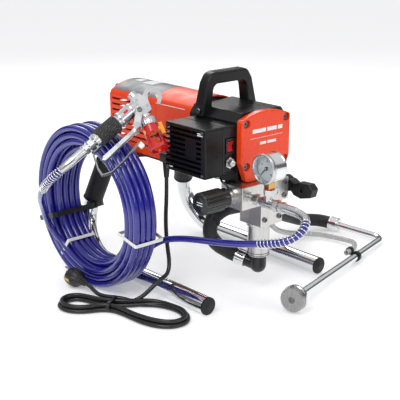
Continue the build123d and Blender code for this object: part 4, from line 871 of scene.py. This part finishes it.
# ---------------------------------------------------------------- pump
def make_pump_trim():
    """Screws and plug of the pump block, the cylinder's collar and rings, the suction hose's zip tie."""
    front = -30
    socket_head = [(0, -0.4), (4.4, -0.4), (4.4, 2.2), (3.9, 2.8), (2.3, 2.8), (2.1, 1.0), (0, 0.8)]
    screws = []
    for x, z in ((28, 193), (28, 171), (-17, 137), (17, 137)):
        screws.append(lathe_data(socket_head, frame_at(mm(x, front, z), (0, -1, 0)), segments=30))
    joined("block_screws", screws, "dark_steel")
    lathe("block_plug", [(0, -0.4), (7.6, -0.4), (7.6, 1.4), (7.0, 2.0), (4.2, 2.0), (4.0, 0.6), (0, 0.4)],
          frame_at(mm(8, front, 180), (0, -1, 0)), "zinc")
    pump_axis = frame_at(mm(0, 0, 0), (0, 0, 1))
    lathe("cylinder_collar", ring(18.3, 21, 118, 124.8, (0.6, 0.8)), pump_axis, "zinc",
          segments=72, flutes=36, flute_depth=0.5)
    two_rings = [(18.4, 66.2), (18.9, 66.2), (18.9, 67.4), (18.4, 67.4), (18.4, 70.2), (18.9, 70.2),
                 (18.9, 71.4), (18.4, 71.4), (18.4, 66.2)]
    lathe("cylinder_rings", two_rings, pump_axis, "dark_steel")
    strap = frame_at(mm(-44.4, 65.3, 119), (21, -1.5, 20), (-1, 0, 1))
    outline = [(12.9 * cos(pi * k / 16), 12.9 * sin(pi * k / 16)) for k in range(32)]
    head = block_data(strap, (6, 7, 5), (14.5, 0, 0))
    joined("suction_zip_tie", [band_data(outline, strap, 4.6, 1.2), head], "black_plastic")


def make_gauge():
    """The gauge's dial with graduations and plain numbers, its bezel, stem sleeve, seal and back plug."""
    low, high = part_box("gauge_case")
    rim = frame_at(Vector((low.x, GAUGE_Y * MM, GAUGE_Z * MM)), (-1, 0, 0), (0, -1, 0))
    face = rim @ Matrix.Translation(mm(0, 0, -9.6))
    lathe("gauge_dial", [(0, 0.4), (20.2, 0.4), (20.2, -0.2), (0, -0.2)], face, "dial_white")
    ticks = []
    tick_tip, tick_count = 18.8, 40
    for k in range(tick_count + 1):
        length, width = (3.8, 0.7) if k % 10 == 0 else (2.2, 0.32)
        turned = face @ Matrix.Rotation(radians(DIAL_START_DEG - DIAL_SWEEP_DEG * k / tick_count), 4, "Z")
        ticks.append(block_data(turned, (length, width, 0.12), (tick_tip - length / 2, 0, 0.44)))
    joined("gauge_ticks", ticks, "dial_ink")
    number_radius = 11.8
    for k in range(5):
        angle = radians(DIAL_START_DEG - DIAL_SWEEP_DEG * k / 4)
        text = bpy.data.curves.new(f"gauge_number_{k}", "FONT")
        text.body = str(10 * k)
        text.size = 4.2 * MM
        text.align_x = text.align_y = "CENTER"
        text.extrude = 0.06 * MM
        piece = bpy.data.objects.new(f"gauge_number_{k}", text)
        scene.collection.objects.link(piece)
        place = mm(number_radius * cos(angle), number_radius * sin(angle), 0.46)
        piece.matrix_world = face @ Matrix.Translation(place)
        text.materials.append(MATERIALS["dial_ink"])
        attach(piece, "root")
    arc = []
    for k in range(18):
        turned = face @ Matrix.Rotation(radians(-45 + 50 * k / 17), 4, "Z")
        arc.append(block_data(turned, (1.2, 1.1, 0.1), (15.1, 0, 0.44)))
    joined("gauge_limit_arc", arc, "red_switch")
    bezel = [(20.7, -2.4), (20.7, 0.2), (21.7, 0.9), (23.3, 0.6), (24.3, -0.8), (24.3, -5), (23.9, -5.6),
             (22.9, -5.6), (20.7, -2.4)]
    lathe("gauge_bezel", bezel, rim, "steel")
    stem = frame_at(mm(-52, GAUGE_Y, 0), (0, 0, 1), (1, 0, 0))
    prism("gauge_stem_sleeve", rounded(12.9, 12.9, 1.6), stem @ Matrix.Translation(mm(0, 0, 208.4)), 9.8,
          "brass", bevel=0.4)
    lathe("gauge_stem_seal", ring(6.8, 8.3, 206.1, 208.2, (0.3, 0.5)), stem, "red_plastic")
    back = frame_at(Vector((high.x, GAUGE_Y * MM, GAUGE_Z * MM)), (1, 0, 0))
    lathe("gauge_blow_out_plug", [(0, -0.3), (5, -0.3), (5, 0.9), (4.2, 1.4), (0, 1.4)], back, "rubber")


def make_knob_trim():
    """End cap with two pale strokes on the pressure knob."""
    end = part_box("pressure_knob")[0].x
    place = frame_at(Vector((end, -5 * MM, 183 * MM)), (-1, 0, 0), (0, -1, 0))
    lathe("knob_cap", [(0, 0.9), (9, 0.9), (12.5, 0.5), (14.4, -0.3), (0, -0.3)], place, "black_gloss",
          body="knob")
    strokes = [block_data(place, (13, 1.3, 0.3), (0, y, 0.95)) for y in (2.4, -1.6)]
    joined("knob_strokes", strokes, "white_print_and_highlight", body="knob")


def make_lever_trim():
    """Screw on the prime lever's hub, and ribs along its arm."""
    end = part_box("prime_lever")[1].x
    hub = frame_at(Vector((end, -5 * MM, 180 * MM)), (1, 0, 0))
    lathe("lever_screw", [(0, -0.3), (5, -0.3), (5, 1.6), (4.2, 2.3), (2.2, 2.3), (2.0, 1.0), (0, 0.9)], hub,
          "dark_steel", body="lever", segments=36)
    ribs = []
    for k in range(6):
        for side in (-1, 1):
            place = Matrix.Translation(mm(60, -41 - 4.2 * k, 178.5 + side * (9.6 + 0.2 * k)))
            ribs.append(block_data(place, (12, 1.5, 1.6)))
    soften(joined("lever_ribs", ribs, "black_plastic", body="lever"), 0.3, 2)


# ---------------------------------------------------------------- suction set
def make_strainer():
    """Woven strainer: chrome rim, a dark solid inside as painted shade of its hollow, and a mesh of crossing
    wires over it.
    """
    place = frame_at(PIPE_END * MM, PIPE_END - PIPE_CORNER)
    rim = [(7.2, -10), (9.6, -10), (10.4, -9), (10.6, -2), (20.6, 0), (21.7, 0.8), (21.9, 2), (21.9, 6),
           (21.2, 6.6), (19.4, 6.6), (19.4, 4), (7.2, 2), (7.2, -10)]
    lathe("strainer_rim", rim, place, "chrome", replaces=("suction_strainer",))
    # Painted shade: a dark solid fills the mesh where the strainer's hollow inside would lie in shade.
    shade_core = [(0, 4), (19.6, 4), (20.0, 6), (20.0, 14.6), (18.6, 16.2), (0, 16.8)]
    lathe("strainer_painted_shade_core", shade_core, place, "dark_steel")
    outer, top = 20.5, 17.1
    spoke_count = 78
    wires = []
    for k in range(spoke_count):
        spoke = place @ Matrix.Rotation(2 * pi * k / spoke_count, 4, "Z")
        wires.append(block_data(spoke, (0.5, 0.55, 9.2), (outer, 0, 10.6)))
    for k in range(11):
        height = 6.6 + 0.95 * k
        wires.append(lathe_data(ring(outer - 0.2, outer + 0.3, height, height + 0.4), place, segments=48))
    for k in range(-12, 13):
        offset = k * 1.6
        length = 2 * sqrt(outer * outer - offset * offset) - 1.6
        wires.append(block_data(place, (length, 0.5, 0.55), (0, offset, top)))
        wires.append(block_data(place, (0.5, length, 0.55), (offset, 0, top + 0.15)))
    joined("strainer_mesh", wires, "steel")
    boss = [(0, -1), (5.4, -1), (5.4, 0.8), (4.6, 1.5), (2.4, 1.5), (2.2, 0.7), (0, 0.7)]
    lathe("strainer_boss", [(radius, top + height) for radius, height in boss], place, "dark_steel",
          segments=48)


def make_pipe_trim():
    """Crimp rings on the suction hose's two ferrules."""
    outlet = ELBOW_BASE + ELBOW_DIRECTION.normalized() * ELBOW_OUTLET
    elbow = frame_at(outlet * MM, ELBOW_DIRECTION)
    pipe = frame_at(PIPE_START * MM, PIPE_START - PIPE_CORNER)
    crimps = []
    for place in (elbow, pipe):
        for height in (1.2, 14.4):
            profile = [(13.8, 0), (14.3, 0), (14.5, 0.8), (14.3, 1.8), (13.8, 1.8), (13.8, 0)]
            crimps.append(lathe_data([(radius, height + rise) for radius, rise in profile], place))
    joined("ferrule_crimps", crimps, "chrome")


# ---------------------------------------------------------------- spray gun
def make_gun_trim():
    """The gun's screws, collars, packing nut and barrel ring, and the tip guard's nut, seat, lip and tag."""
    lathe("trigger_screw", [(0, 0), (4.2, 0), (4.2, 1.6), (3.6, 2.2), (1.6, 2.2), (1.4, 1.2), (0, 1.2)],
          gun_frame(14, 12, 12, GUN_X, GUN_Y), "dark_steel", segments=36)
    head = [(0, -0.3), (2.6, -0.3), (2.6, 0.8), (2.1, 1.2), (1.2, 1.2), (1.0, 0.5), (0, 0.5)]
    screws = [lathe_data(head, gun_frame(u, v, 9, GUN_X, GUN_Y), segments=24)
              for u, v in ((4, -5), (-2, 14), (10, 2))]
    joined("gun_head_screws", screws, "zinc")
    handle = frame_at(gun_point(0, 0), GUN_X, GUN_Y)
    collars = [ring(12.3, 13.2, 20, 23, (0.3, 0.6)), ring(12.3, 13.2, 44, 47, (0.3, 0.6)),
               ring(11.3, 12.2, 97, 99)]
    joined("gun_collars", [lathe_data(profile, handle) for profile in collars], "chrome")
    prism("gun_collar_mark", rounded(9, 4.2, 0.8), gun_frame(33, 0, 12.2, GUN_X, GUN_Y), 0.7, "red_plastic",
          bevel=0.15)
    nut = [(0, -1), (7.4, -1), (7.6, 0), (7.2, 1.8), (4.2, 2.2), (3.9, 1.2), (0, 1.0)]
    lathe("gun_packing_nut", nut, frame_at(gun_point(-1, -20), -GUN_Y, GUN_Z), "zinc",
          segments=72, flutes=18, flute_depth=0.45)
    nozzle_angle = radians(25.1)
    nozzle = GUN_X * sin(nozzle_angle) + GUN_Y * cos(nozzle_angle)
    barrel = frame_at(gun_point(8, 18), nozzle, GUN_Z)
    joined("gun_barrel_ring", [lathe_data(ring(7.9, 9.1, 5, 9, (0.2, 0.6)), barrel)], "chrome")
    lathe("guard_nut_grip", ring(12.9, 13.8, 13, 25.8, (0.5, 0.8)), barrel, "zinc", body="guard",
          segments=120, flutes=20, flute_depth=0.6)
    seat = [(5.6, 30), (7.6, 30), (7.6, 37.5), (6.4, 39.4), (3.0, 39.4), (1.2, 37.4), (1.2, 36.6),
            (5.6, 36.6), (5.6, 30)]
    lathe("tip_seat", seat, barrel, "amber", body="guard")
    lip = [(13.0, 66.6), (14.2, 68.2), (16.2, 68.2), (16.6, 67.2), (16.2, 66.2), (14.6, 65.6), (13.0, 66.6)]
    lathe("guard_lip", lip, barrel, "red_plastic", body="guard")
    prism("guard_tag", rounded(9, 12, 2), gun_frame(53, 54, -2, GUN_X, GUN_Y), 4, "white_plastic", bevel=0.8)


make_camera()
make_studio()
make_paint_hose()
make_power_cord()
dress_frame()
make_foot_ends()
make_leg_trim()
make_cover_marks()
make_cover_washers()
make_motor_trim()
make_handle_trim()
make_control_trim()
make_pump_trim()
make_gauge()
make_knob_trim()
make_lever_trim()
make_strainer()
make_pipe_trim()
make_gun_trim()
